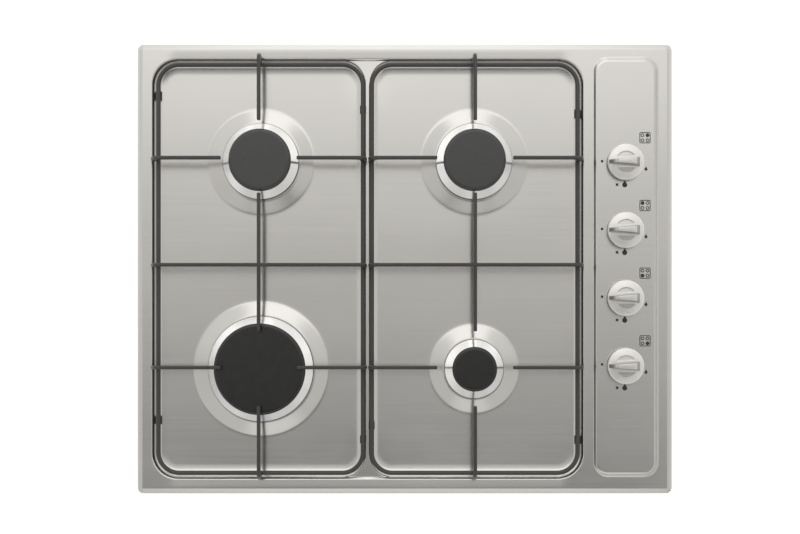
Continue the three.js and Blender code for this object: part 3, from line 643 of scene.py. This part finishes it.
    # exact normals on the two faces of the sheet, hard corners at the skirt and the holes
    A = np.array(allv)
    normals = np.zeros((len(me.loops), 3), dtype=np.float32)
    me.calc_loop_triangles()
    lv = np.zeros(len(me.loops), dtype=np.int32)
    me.loops.foreach_get("vertex_index", lv)
    pn = np.zeros(len(me.polygons) * 3, dtype=np.float32)
    me.polygons.foreach_get("normal", pn)
    pn = pn.reshape(-1, 3)
    ls = np.zeros(len(me.polygons), dtype=np.int32)
    lt = np.zeros(len(me.polygons), dtype=np.int32)
    me.polygons.foreach_get("loop_start", ls)
    me.polygons.foreach_get("loop_total", lt)
    poly_of = np.repeat(np.arange(len(ls)), lt)
    order = np.argsort(ls)
    poly_of = np.repeat(order, lt[order])
    normals[:] = pn[poly_of]
    up = (pn[poly_of][:, 2] > 0.05) & (lv < n0)
    dn = (pn[poly_of][:, 2] < -0.05) & (lv >= n0) & (lv < 2 * n0)
    normals[up] = N[lv[up]]
    normals[dn] = -N[lv[dn] - n0]
    # along the skirt: outward from the outline
    side = ~up & ~dn & (np.abs(pn[poly_of][:, 2]) < 0.3)
    out_n = np.zeros((len(A), 3))
    for k, q in enumerate(edge):
        for w, s in ((q, 1), (skirt[k], 1), (n0 + q, -1), (inner[k], -1)):
            out_n[w] = (en[q, 0] * s, en[q, 1] * s, 0)
    for r, (bx, by, h, hole, radii) in zip(rims, wins):
        for q in r:
            d = np.array([bx - V[q, 0], by - V[q, 1]])
            d /= np.linalg.norm(d)
            for w in (q, n0 + q):
                out_n[w] = (d[0], d[1], 0)
    has = np.linalg.norm(out_n[lv], axis=1) > 0.5
    normals[side & has] = out_n[lv[side & has]]
    me.normals_split_custom_set([tuple(t) for t in normals])
    uv = me.uv_layers.new(name="brush")
    data = np.zeros((len(me.loops), 2), dtype=np.float32)
    data[:, 0] = A[lv][:, 1] * 0.002 + 0.5
    data[:, 1] = A[lv][:, 0] * 0.002 + 0.5
    uv.data.foreach_set("uv", data.ravel())
    return ob


plate = build_plate()
piece(plate, "hob", ["hob_plate"], "stainless")


# ------------------------------------------------------------------ printed marks on the panel
def disc(cx, cy, r, n=24):
    return [(cx + r * math.cos(2 * math.pi * i / n), cy + r * math.sin(2 * math.pi * i / n)) for i in range(n)]


def flame(cx, cy, s, up=1.0):
    """Drop-shaped flame symbol."""
    pts = []
    for i in range(28):
        a = math.radians(-240 + 300 * i / 27)
        pts.append((cx + s * math.cos(a), cy + s * math.sin(a)))
    pts.append((cx + 0.18 * s, cy + 2.05 * s * up))
    pts.append((cx - 0.25 * s, cy + 1.25 * s))
    return pts


def star(cx, cy, r, n=4, q=0.45):
    return [(cx + (r if i % 2 == 0 else r * q) * math.cos(math.pi * i / n + math.pi / 4), cy + (r if i % 2 == 0 else r * q) * math.sin(math.pi * i / n + math.pi / 4)) for i in range(2 * n)]


def band(outer, inner):
    return ("band", outer, inner)


def rrect(x0, x1, y0, y1, r, n=6):
    p = []
    for cx, cy, a0 in ((x1 - r, y0 + r, -90), (x1 - r, y1 - r, 0), (x0 + r, y1 - r, 90), (x0 + r, y0 + r, 180)):
        for i in range(n + 1):
            a = math.radians(a0 + 90 * i / n)
            p.append((cx + r * math.cos(a), cy + r * math.sin(a)))
    return p


def ink(name, shapes, z0=PANEL_Z + 0.012, z1=PANEL_Z + 0.06):
    verts, faces = [], []

    def solid(p):
        n, b = len(p), len(verts)
        for z in (z0, z1):
            for x, y in p:
                verts.append((x, y, z))
        faces.append(tuple(b + i for i in range(n - 1, -1, -1)))
        faces.append(tuple(b + n + i for i in range(n)))
        for i in range(n):
            j = (i + 1) % n
            faces.append((b + i, b + j, b + n + j, b + n + i))

    def hollow(o, q):
        n, b = len(o), len(verts)
        for z in (z0, z1):
            for ring in (o, q):
                for x, y in ring:
                    verts.append((x, y, z))
        O0, Q0, O1, Q1 = b, b + n, b + 2 * n, b + 3 * n
        for i in range(n):
            j = (i + 1) % n
            faces.append((O1 + i, O1 + j, Q1 + j, Q1 + i))
            faces.append((O0 + j, O0 + i, Q0 + i, Q0 + j))
            faces.append((O0 + i, O0 + j, O1 + j, O1 + i))
            faces.append((Q0 + j, Q0 + i, Q1 + i, Q1 + j))

    for s in shapes:
        if s[0] == "band":
            hollow(s[1], s[2])
        else:
            solid(s)
    ob = make(name, verts, faces, smooth=False)
    outward(ob)
    return ob


for n, y in enumerate(KNOB_Y, 1):
    x = KNOB_X
    shapes = [disc(x - 25.2, y + 1.7, 1.5), flame(x + 23.4, y - 7.1, 1.7, 1.0), star(x - 8.6, y - 24.2, 2.3, 4, 0.55)]
    fx, fy = x - 0.2, y - 24.5
    big = flame(fx, fy, 2.8, 1.0)
    shapes.append(big)
    # burner plan: rounded square, three open circles and a filled one
    ix, iy, h = x + 22.3, y + 27.7, 6.15
    shapes.append(band(rrect(ix - h, ix + h, iy - h, iy + h, 1.8), rrect(ix - h + 0.9, ix + h - 0.9, iy - h + 0.9, iy + h - 0.9, 1.0)))
    filled = {1: (1, 1), 2: (-1, 1), 3: (-1, -1), 4: (1, -1)}[n]
    for sx in (-1, 1):
        for sy in (-1, 1):
            cx, cy = ix + sx * 2.75, iy + sy * 2.75
            if (sx, sy) == filled:
                shapes.append(disc(cx, cy, 2.15))
            else:
                shapes.append(band(disc(cx, cy, 2.0), disc(cx, cy, 1.05)))
    marks = ink(f"printed_marks_{n}", shapes)
    piece(marks, "hob", [], "ink")


# ------------------------------------------------------------------ pan supports and their feet
def finger(length, over, r=12, leg=LEG_W):
    a = -(RING_R + over)
    b = a + leg
    return ([(a, RING_Z + 1), (b, RING_Z + 1)] + arc(b + 8, BAR_LOW - 8, 8, 180, 90, 10)
            + [(length - 0.7, BAR_LOW), (length, BAR_LOW + 0.9), (length, BAR_TOP - 1.2), (length - 1.2, BAR_TOP)]
            + arc(a + r, BAR_TOP - r, r, 90, 180, 12))


def cross_bar(length, over0, over1):
    a = -(RING_R + over0)
    b = a + LEG_W
    d = length + RING_R + over1
    c = d - LEG_W
    return ([(a, RING_Z + 1), (b, RING_Z + 1)] + arc(b + 8, BAR_LOW - 8, 8, 180, 90, 10) + arc(c - 8, BAR_LOW - 8, 8, 90, 0, 10)
            + [(c, RING_Z + 1), (d, RING_Z + 1)] + arc(d - 12, BAR_TOP - 12, 12, 0, 90, 12) + arc(a + 12, BAR_TOP - 12, 12, 90, 180, 12))


def mirrored(outline, length):
    return [(length - u, z) for u, z in reversed(outline)]


for side, s in SUPPORTS.items():
    cx = BURNERS[f"rear_{side}"][0]
    yr, yf = BURNERS[f"rear_{side}"][1], BURNERS[f"front_{side}"][1]
    wire = sweep_ring(f"support_{side}", s["x0"], s["x1"], s["y0"], s["y1"], RING_CORNER, RING_R, RING_Z, 22, 22)
    bars = []

    def bar(outline, along, u0, v):
        bars.append(extrude(f"bar_{side}_{len(bars)}", outline, BAR_W, along, u0, v, 1.25, 3))

    bar(cross_bar(s["x1"] - s["x0"], s["ox0"], s["ox1"]), "x", s["x0"], CROSS_Y)
    for y in (yr + 1.2, yf + 2.1):
        bar(finger(cx - TIP["side"] - s["x0"], s["ox0"]), "x", s["x0"], y)
        ln = s["x1"] - cx - TIP["side"]
        bar(mirrored(finger(ln, s["ox1"]), ln), "x", cx + TIP["side"], y)
    lr, lf, lm = s["y1"] - yr - TIP["rear"], yf - TIP["front"] - s["y0"], yr - yf - TIP["mid_rear"] - TIP["mid_front"]
    bar(mirrored(finger(lr, 7.2, 7, 9.6), lr), "y", yr + TIP["rear"], cx)
    bar(finger(lf, 4.1), "y", s["y0"], cx)
    bar([(0, BAR_LOW + 0.9), (0.7, BAR_LOW), (lm - 0.7, BAR_LOW), (lm, BAR_LOW + 0.9), (lm, BAR_TOP - 1.2), (lm - 1.2, BAR_TOP), (1.2, BAR_TOP), (0, BAR_TOP - 1.2)],
        "y", yf + TIP["mid_front"], cx)
    combine(wire, bars, "UNION")
    wire.data.set_sharp_from_angle(angle=math.radians(38))
    piece(wire, f"pan_support_{side}", [f"pan_support_{side}"], "enamel")


def wall_at(i):
    return hermite(np.array([i]), WALL)[0]


FOOT_W, FOOT_LOW, FOOT_L = 3.3, 2.5, 8.6


def foot(name, xc, y, surface):
    low = [(-FOOT_W, RING_Z - 1.6)] + [(-FOOT_LOW + i * FOOT_LOW / 5, surface(xc - FOOT_LOW + i * FOOT_LOW / 5) + 0.6) for i in range(11)] + [(FOOT_W, RING_Z - 1.6)]
    outline = low + [(FOOT_W, 51.9), (2.85, 51.9)] + arc(0, RING_Z, 2.85, -2, -178, 12) + [(-2.85, 51.9), (-FOOT_W, 51.9)]
    return extrude(name, outline, FOOT_L, "x", xc, y, 0.2, 2)


def rim_side(edge, d):
    return lambda x: float(wall_at((x - edge) * d))


def ridge_side(crest, d):
    return lambda x: RIDGE_Z if (x - crest) * d <= 0 else float(wall_at(CREST + (x - crest) * d / 0.87))


FEET = [
    ("foot_left_1", "left", "x0", 192.5, rim_side(WELL["x0"], 1)), ("foot_left_2", "left", "x0", -168, rim_side(WELL["x0"], 1)),
    ("foot_left_3", "left", "x1", 176.5, ridge_side(RIDGE_X0, -1)), ("foot_left_4", "left", "x1", -189.2, ridge_side(RIDGE_X0, -1)),
    ("foot_right_1", "right", "x0", -173.4, ridge_side(RIDGE_X1, 1)),
    ("foot_right_2", "right", "x1", 172.4, rim_side(WELL["x1"], -1)), ("foot_right_3", "right", "x1", -189.9, rim_side(WELL["x1"], -1)),
]
for name, side, end, y, surf in FEET:
    f = foot("rubber_" + name, SUPPORTS[side][end], y, surf)
    f.data.set_sharp_from_angle(angle=math.radians(40))
    piece(f, f"pan_support_{side}", [name], "rubber")


# ------------------------------------------------------------------ burners
for name, (x, y, k) in BURNERS.items():
    rp = k["cap"] - 1.6
    seg = 128
    c = k["cap"]
    prof = ([(0, CAP_TOP), (c * 0.5, CAP_TOP), (c - 4.5, CAP_TOP)]
            + [(c - 3.2 + 3.2 * math.sin(math.radians(a)), CAP_TOP - 2.6 + 2.6 * math.cos(math.radians(a))) for a in (0, 12, 24, 36, 48, 60, 72, 84)]
            + [(c, CAP_TOP - 2.9), (c, PORT_TOP + GAP + 0.3), (c - 0.3, PORT_TOP + GAP), (rp - 3.6, PORT_TOP + GAP), (rp - 3.6, PORT_TOP - 2),
               (rp - 6, PORT_TOP - 2), (rp - 6.4, PORT_TOP + 1.6), (0, PORT_TOP + 1.6)])
    cap = lathe(f"flame_cap_{name}", prof, seg, x, y, 30)
    # rear caps take the lighter enamel copy: painted light
    piece(cap, f"cap_{name}", [f"cap_{name}"], "cap_rear_painted_light" if name.startswith("rear") else "cap")
    col = k["col"]
    prof = fillet([(k["rc"] - 0.4, CROWN_LOW), (k["rc"], CROWN_LOW + 0.4), (k["rc"], CROWN_LIP - 1.2), (k["rc"] - 0.55, CROWN_LIP), (rp + 0.3, 55.6), (rp, 56.1), (rp, PORT_TOP), (rp - 3.2, PORT_TOP),
                   (rp - 3.2, 52.4), (col * 0.45, 52.4), (col * 0.45, 48.9), (col + 0.6, 48.9), (col + 0.6, CROWN_LOW)],
                  [0, 0, 0, 0.3, 1.6, 0, 0.3, 0.3, 1.0, 0.8, 0, 0, 0], 3)
    crown = lathe(f"flame_crown_{name}", prof, 144, x, y, 30)
    # narrow flame slots through the port wall
    verts, faces = [], []
    ns = k["slots"]
    for i in range(ns):
        a = 2 * math.pi * (i + 0.5) / ns
        ca, sa = math.cos(a), math.sin(a)
        b = len(verts)
        w = 0.75
        for z in (PORT_TOP - 2.1, PORT_TOP + 1.0):
            for r in (rp - 5.0, rp + 2.0):
                for t in (-w, w):
                    verts.append((x + r * ca - t * sa, y + r * sa + t * ca, z))
        for f in ((0, 1, 3, 2), (4, 6, 7, 5), (0, 4, 5, 1), (2, 3, 7, 6), (0, 2, 6, 4), (1, 5, 7, 3)):
            faces.append(tuple(b + q for q in f))
    comb = make("slots", verts, faces)
    outward(comb)
    combine(crown, [comb], "DIFFERENCE")
    crown.data.set_sharp_from_angle(angle=math.radians(30))
    mat = turned(f"crown_aluminium_{name}", (0.95, 0.95, 0.945), 0.19, x, y, 0.8)
    piece(crown, f"crown_{name}", [f"crown_{name}"], mat)
    # the turned edge below the lip gets a darker copy of the aluminium: painted shade of the gap under the lip
    crown.data.materials.append(MAT["edge"])
    for pl in crown.data.polygons:
        cxy = math.hypot(pl.center.x / MM - x, pl.center.y / MM - y)
        if cxy > k["rc"] - 0.5 and pl.center.z / MM < CROWN_LIP - 0.05:
            pl.material_index = 1
    # cup under the plate
    prof = fillet([(0, 8), (9, 8), (9, 27), (k["low"], 36), (col - 3.4, 41.6), (k["fl"], 41.6), (k["fl"], 44.6), (col, 44.6), (col, 48.5),
                   (col - 2.4, 48.5), (k["bowl"], 39), (7, 29.5), (4.3, 29.5), (4.3, 12), (0, 12)], [0, 1, 1, 1.5, 1, 0.5, 0.5, 0.6, 0.5, 0.5, 2, 1, 0, 0, 0], 3)
    cup = lathe(f"mixing_cup_{name}", prof, 96, x, y, 32)
    piece(cup, "hob", [f"burner_cup_{name}"], "cast")


# ------------------------------------------------------------------ knobs
def knob_mesh(name, x, y):
    # round skirt: polar grid with a crowned top and two flat finger recesses
    seg = 240
    radii = [0.0] + list(np.linspace(1.2, 3.6, 4)) + list(np.arange(3.9, 13.6, 0.3)) + list(np.linspace(14.2, 17.6, 6)) + [18.2, 18.7, 19.1, 19.45, 19.7, 19.9, 20.0]
    verts, rows = [], []

    def top_z(px, py):
        r = math.hypot(px, py)
        z = 62.6 - 1.35 * (min(r, 18.2) / 18.2) ** 2.4
        if r > 18.2:
            t = min(1.0, (r - 18.2) / 1.8)
            z -= 1.55 * (1 - math.sqrt(max(0.0, 1 - t * t)))
        # recess: inside a circle about the axis, outside the grip
        d = 12.0 - r
        if py < 0:
            g = -py - 5.5 - 0.03 * (px + 9)
        else:
            g = py - 5.3 - 0.075 * (px + 9)
        w = min(d, g)
        t = max(0.0, min(1.0, (w + 0.1) / 1.2))
        return z - 1.1 * t * t * (3 - 2 * t)

    for r in radii:
        if r == 0:
            rows.append([len(verts)])
            verts.append((x, y, top_z(0, 0)))
            continue
        rows.append(list(range(len(verts), len(verts) + seg)))
        for i in range(seg):
            a = 2 * math.pi * i / seg
            px, py = r * math.cos(a), r * math.sin(a)
            verts.append((x + px, y + py, top_z(px, py)))
    for r, z in ((KNOB_R, 58.8), (KNOB_R, 56.7), (19.8, 56.4), (19.4, 56.3), (18.2, 56.3), (18.2, 59.4), (17.6, 59.6), (7.4, 59.6), (7.0, 59.3), (7.0, 56.3), (3.4, 56.3), (3.4, 60.5)):
        rows.append(list(range(len(verts), len(verts) + seg)))
        for i in range(seg):
            a = 2 * math.pi * i / seg
            verts.append((x + r * math.cos(a), y + r * math.sin(a), z))
    rows.append([len(verts)])
    verts.append((x, y, 60.5))
    faces = []
    for a, b in zip(rows, rows[1:]):
        for i in range(seg):
            j = (i + 1) % seg
            if len(a) == 1:
                faces.append((a[0], b[i], b[j]))
            elif len(b) == 1:
                faces.append((a[i], b[0], a[j]))
            else:
                faces.append((a[i], b[i], b[j], a[j]))
    ob = make(name, verts, faces)
    outward(ob)
    # grip bar: wedge that slopes down to the pointer end and is rounded at the other
    xs = [-19.0, -18.7, -18.0, -16.8, -15.2, -13.4, -11.6, -10.2, -8.8, -7.4, -4.0, 0.0, 4.0, 6.4, 8.0, 9.2, 10.3, 11.3, 12.2, 13.0, 13.7, 14.3, 14.7, 14.9]
    hs = [61.8, 63.0, 64.6, 66.2, 67.9, 69.5, 70.7, 71.25, 71.5, 71.6, 71.6, 71.6, 71.6, 71.55, 71.35, 71.0, 70.45, 69.7, 68.8, 67.7, 66.4, 64.9, 63.4, 62.0]
    verts, faces, n = [], [], 0
    zb = 60.4
    for q, h in zip(xs, hs):
        f = (q + 19) / 34
        wb = 2.3 + 3.4 * f
        wt = wb - (wb - (1.4 + 2.7 * f)) * (h - zb) / (KNOB_TOP - zb)
        r = min(0.9, wt * 0.45, (h - zb) * 0.45)
        sect = [(-wb, zb), (wb, zb)]
        for t in range(6):
            a = math.radians(8 + 82 * t / 5)
            sect.append((wt - r + r * math.cos(a), h - r + r * math.sin(a)))
        for t in range(6):
            a = math.radians(90 + 82 * t / 5)
            sect.append((-wt + r + r * math.cos(a), h - r + r * math.sin(a)))
        n = len(sect)
        for v, z in sect:
            verts.append((x + q, y + v, z))
    m = len(xs)
    for i in range(m - 1):
        for k in range(n):
            l = (k + 1) % n
            faces.append((i * n + k, i * n + l, (i + 1) * n + l, (i + 1) * n + k))
    faces.append(tuple(range(n - 1, -1, -1)))
    faces.append(tuple((m - 1) * n + k for k in range(n)))
    grip = make(name + "_grip", verts, faces)
    outward(grip)
    combine(ob, [grip], "UNION")
    ob.data.set_sharp_from_angle(angle=math.radians(34))
    return ob


for n, y in enumerate(KNOB_Y, 1):
    kb = knob_mesh(f"knob_cover_{n}", KNOB_X, y)
    piece(kb, f"knob_{n}", [f"knob_{n}"], "knob")
    # flanks and ends of the grip get darker satin copies of the knob material as painted shade, graded lighter along
    # the grip's top away from the pointer end; the front recess gets deeper painted shade than the rear one
    kb.data.materials.append(MAT["flank"])
    kb.data.materials.append(MAT["scoop"])
    kb.data.materials.append(MAT["grip_end"])
    kb.data.materials.append(MAT["grip_top"])
    for pl in kb.data.polygons:
        cx, cy, cz = pl.center.x / MM - KNOB_X, pl.center.y / MM - y, pl.center.z / MM
        if cz > 62.75 and abs(pl.normal.y) > 0.8 and abs(cy) > 1.5:
            pl.material_index = 1
        elif abs(cy) < 6.5 and (cz > 62.75 or (cx < -17.9 and cz > 61.6)):
            pl.material_index = 3 if cx < -15.4 or cx > 10.0 else (1 if cx < -13.4 else (2 if cx < -10.2 else 4))
        elif cy < -6.3 and math.hypot(cx, cy) < 11.3 and cz < 61.9:
            pl.material_index = 2
        elif cy > 6.2 and math.hypot(cx, cy) < 11.3 and cz < 61.9:
            pl.material_index = 4

# ------------------------------------------------------------------ CAD pieces that stay, with their finishes
KEEP = {"worktop_seal": "foam", "burner_box": "zinc", "gas_rail": "steel", "inlet_elbow": "brass"}
for b in BURNERS:
    KEEP[f"injector_{b}"] = "brass"
for n in (1, 2, 3, 4):
    KEEP[f"tap_stem_{n}"] = "steel"
    KEEP[f"tap_plug_{n}"] = "brass"
    KEEP[f"tap_body_{n}"] = "cast"
    KEEP[f"feed_pipe_{n}"] = "pipe"
for c in ("rear_left", "rear_right", "front_left", "front_right"):
    KEEP[f"clamp_{c}"] = "steel"
for name, mat in KEEP.items():
    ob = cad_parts[name]
    if not ob.material_slots:
        ob.data.materials.append(MAT[mat])
    for s in ob.material_slots:
        s.material = MAT[mat]

# ------------------------------------------------------------------ floor, light, camera
me = bpy.data.meshes.new("floor")
me.from_pydata([(-6, -6, 0), (6, -6, 0), (6, 6, 0), (-6, 6, 0)], [], [(0, 1, 2, 3)])
floor = bpy.data.objects.new("floor", me)
SCENE.collection.objects.link(floor)
fm, fnt, fp = material("floor_paper")
fp.inputs["Base Color"].default_value = (0.9, 0.9, 0.9, 1)
fp.inputs["Emission Color"].default_value = (1, 1, 1, 1)
fp.inputs["Emission Strength"].default_value = 0.65
fp.inputs["Roughness"].default_value = 0.9
me.materials.append(fm)
floor.location.z = -0.0002

# pale backdrop far behind everything, seen directly but not in the reflections
bm = bmesh.new()
bmesh.ops.create_uvsphere(bm, u_segments=48, v_segments=24, radius=5.5)
me = bpy.data.meshes.new("backdrop")
bm.to_mesh(me)
bm.free()
backdrop = bpy.data.objects.new("backdrop", me)
SCENE.collection.objects.link(backdrop)
dm, dnt, dp = material("backdrop_paper")
dp.inputs["Base Color"].default_value = (0.0, 0.0, 0.0, 1)
dp.inputs["Specular IOR Level"].default_value = 0.0
dp.inputs["Emission Color"].default_value = (1, 1, 1, 1)
dp.inputs["Emission Strength"].default_value = 0.98
me.materials.append(dm)
for ray in ("visible_diffuse", "visible_glossy", "visible_transmission", "visible_volume_scatter", "visible_shadow"):
    setattr(backdrop, ray, False)

world = bpy.data.worlds.new("studio")
SCENE.world = world
world.use_nodes = True
wt = world.node_tree
wt.nodes.clear()
wo = wt.nodes.new("ShaderNodeOutputWorld")
bg = wt.nodes.new("ShaderNodeBackground")
tc = wt.nodes.new("ShaderNodeTexCoord")
sep = wt.nodes.new("ShaderNodeSeparateXYZ")
wt.links.new(tc.outputs["Generated"], sep.inputs[0])


def tilt_of(axis):
    """Angle from straight up towards one axis, as 0..1 for -90..90 degrees."""
    at = wt.nodes.new("ShaderNodeMath")
    at.operation = "ARCTAN2"
    wt.links.new(sep.outputs[axis], at.inputs[0])
    wt.links.new(sep.outputs["Z"], at.inputs[1])
    mr = wt.nodes.new("ShaderNodeMapRange")
    mr.inputs["From Min"].default_value = -math.pi / 2
    mr.inputs["From Max"].default_value = math.pi / 2
    wt.links.new(at.outputs[0], mr.inputs["Value"])
    return mr.outputs[0]


def tilt(deg):
    return (deg + 90) / 180


def g(v, t=(1.0, 0.985, 0.955)):
    return (v * t[0], v * t[1], v * t[2])


SKY = [(-90, 0.16), (-78, 0.22), (-71, 0.50), (-62, 0.62), (-54, 0.74), (-47, 0.85), (-40, 0.88), (-34, 0.88), (-29, 0.95), (-24, 0.72), (-19, 0.27), (-16, 0.06), (-13, 0.02),
       (-10, 0.03), (-7, 0.15), (-4, 0.42), (-1, 0.58), (2, 0.50), (5, 0.45), (8, 0.60), (11, 0.95), (14, 1.35), (18, 1.40), (24, 1.22), (31, 1.32), (40, 1.38),
       (48, 1.22), (55, 1.22), (65, 1.30), (90, 1.1)]
FLANK = [(-90, 0.55), (-30, 0.66), (-8, 0.60), (0, 0.64), (8, 0.72), (15, 0.78), (30, 0.85), (90, 1.0)]
FLANK_SHARE = [(-90, 1.0), (-19, 1.0), (-13.5, 0.0), (13.5, 0.0), (19, 1.0), (90, 1.0)]
FLANK_GAIN = [(-90, 0.20), (-77, 0.24), (-74, 0.42), (-72, 0.98), (-69, 1.18), (-64, 1.14), (-60, 1.0), (-53, 0.68), (-40, 0.74), (40, 0.74), (51, 0.62), (57, 0.92), (67, 1.0), (70, 0.64), (74, 0.37), (90, 0.37)]
sky = ramp(wt, tilt_of("Y"), [(tilt(a), g(v)) for a, v in SKY])
flank = ramp(wt, tilt_of("Y"), [(tilt(a), g(v * 1.35)) for a, v in FLANK])
share = ramp(wt, tilt_of("X"), [(tilt(a), (v, v, v)) for a, v in FLANK_SHARE])
gain = ramp(wt, tilt_of("X"), [(tilt(a), (v, v, v)) for a, v in FLANK_GAIN])
lit = wt.nodes.new("ShaderNodeMix")
lit.data_type, lit.blend_type = "RGBA", "MULTIPLY"
lit.inputs["Factor"].default_value = 1.0
wt.links.new(flank, lit.inputs[6])
wt.links.new(gain, lit.inputs[7])
blend = wt.nodes.new("ShaderNodeMix")
blend.data_type = "RGBA"
wt.links.new(share, blend.inputs["Factor"])
wt.links.new(sky, blend.inputs[6])
wt.links.new(lit.outputs[2], blend.inputs[7])
wt.links.new(blend.outputs[2], bg.inputs["Color"])
bg.inputs["Strength"].default_value = 1.0
wt.links.new(bg.outputs[0], wo.inputs[0])


def area(name, loc, target, sx, sy, power, color=(1, 1, 1)):
    l = bpy.data.lights.new(name, "AREA")
    l.shape, l.size, l.size_y, l.energy, l.color = "RECTANGLE", sx, sy, power, color
    o = bpy.data.objects.new(name, l)
    o.location = loc
    d = Vector(target) - Vector(loc)
    o.rotation_mode = "QUATERNION"
    o.rotation_quaternion = d.to_track_quat("-Z", "Y")
    SCENE.collection.objects.link(o)
    o.visible_glossy = False                            # soft fill for matt surfaces only
    return o


area("key_rear_right", (1.1, 2.4, 1.7), (0, 0.05, 0.05), 2.2, 1.6, 22)

H, F_PX, TILT, SHIFT = 1.3379, 1205.7, 0.0, 0.08
cam = bpy.data.cameras.new("camera")
camera = bpy.data.objects.new("camera", cam)
SCENE.collection.objects.link(camera)
cam.sensor_fit, cam.sensor_width = "HORIZONTAL", 36.0
cam.lens = F_PX / 800 * 36.0
cam.shift_y = SHIFT
cam.clip_end = 30
camera.location = (-0.00526, -0.06895, 0.050 + H)
camera.rotation_euler = (math.radians(TILT), 0, 0)
SCENE.camera = camera

vs = SCENE.view_settings
vs.view_transform = "Standard"
vs.look = "None"
vs.exposure = 0.0
vs.gamma = 1.0
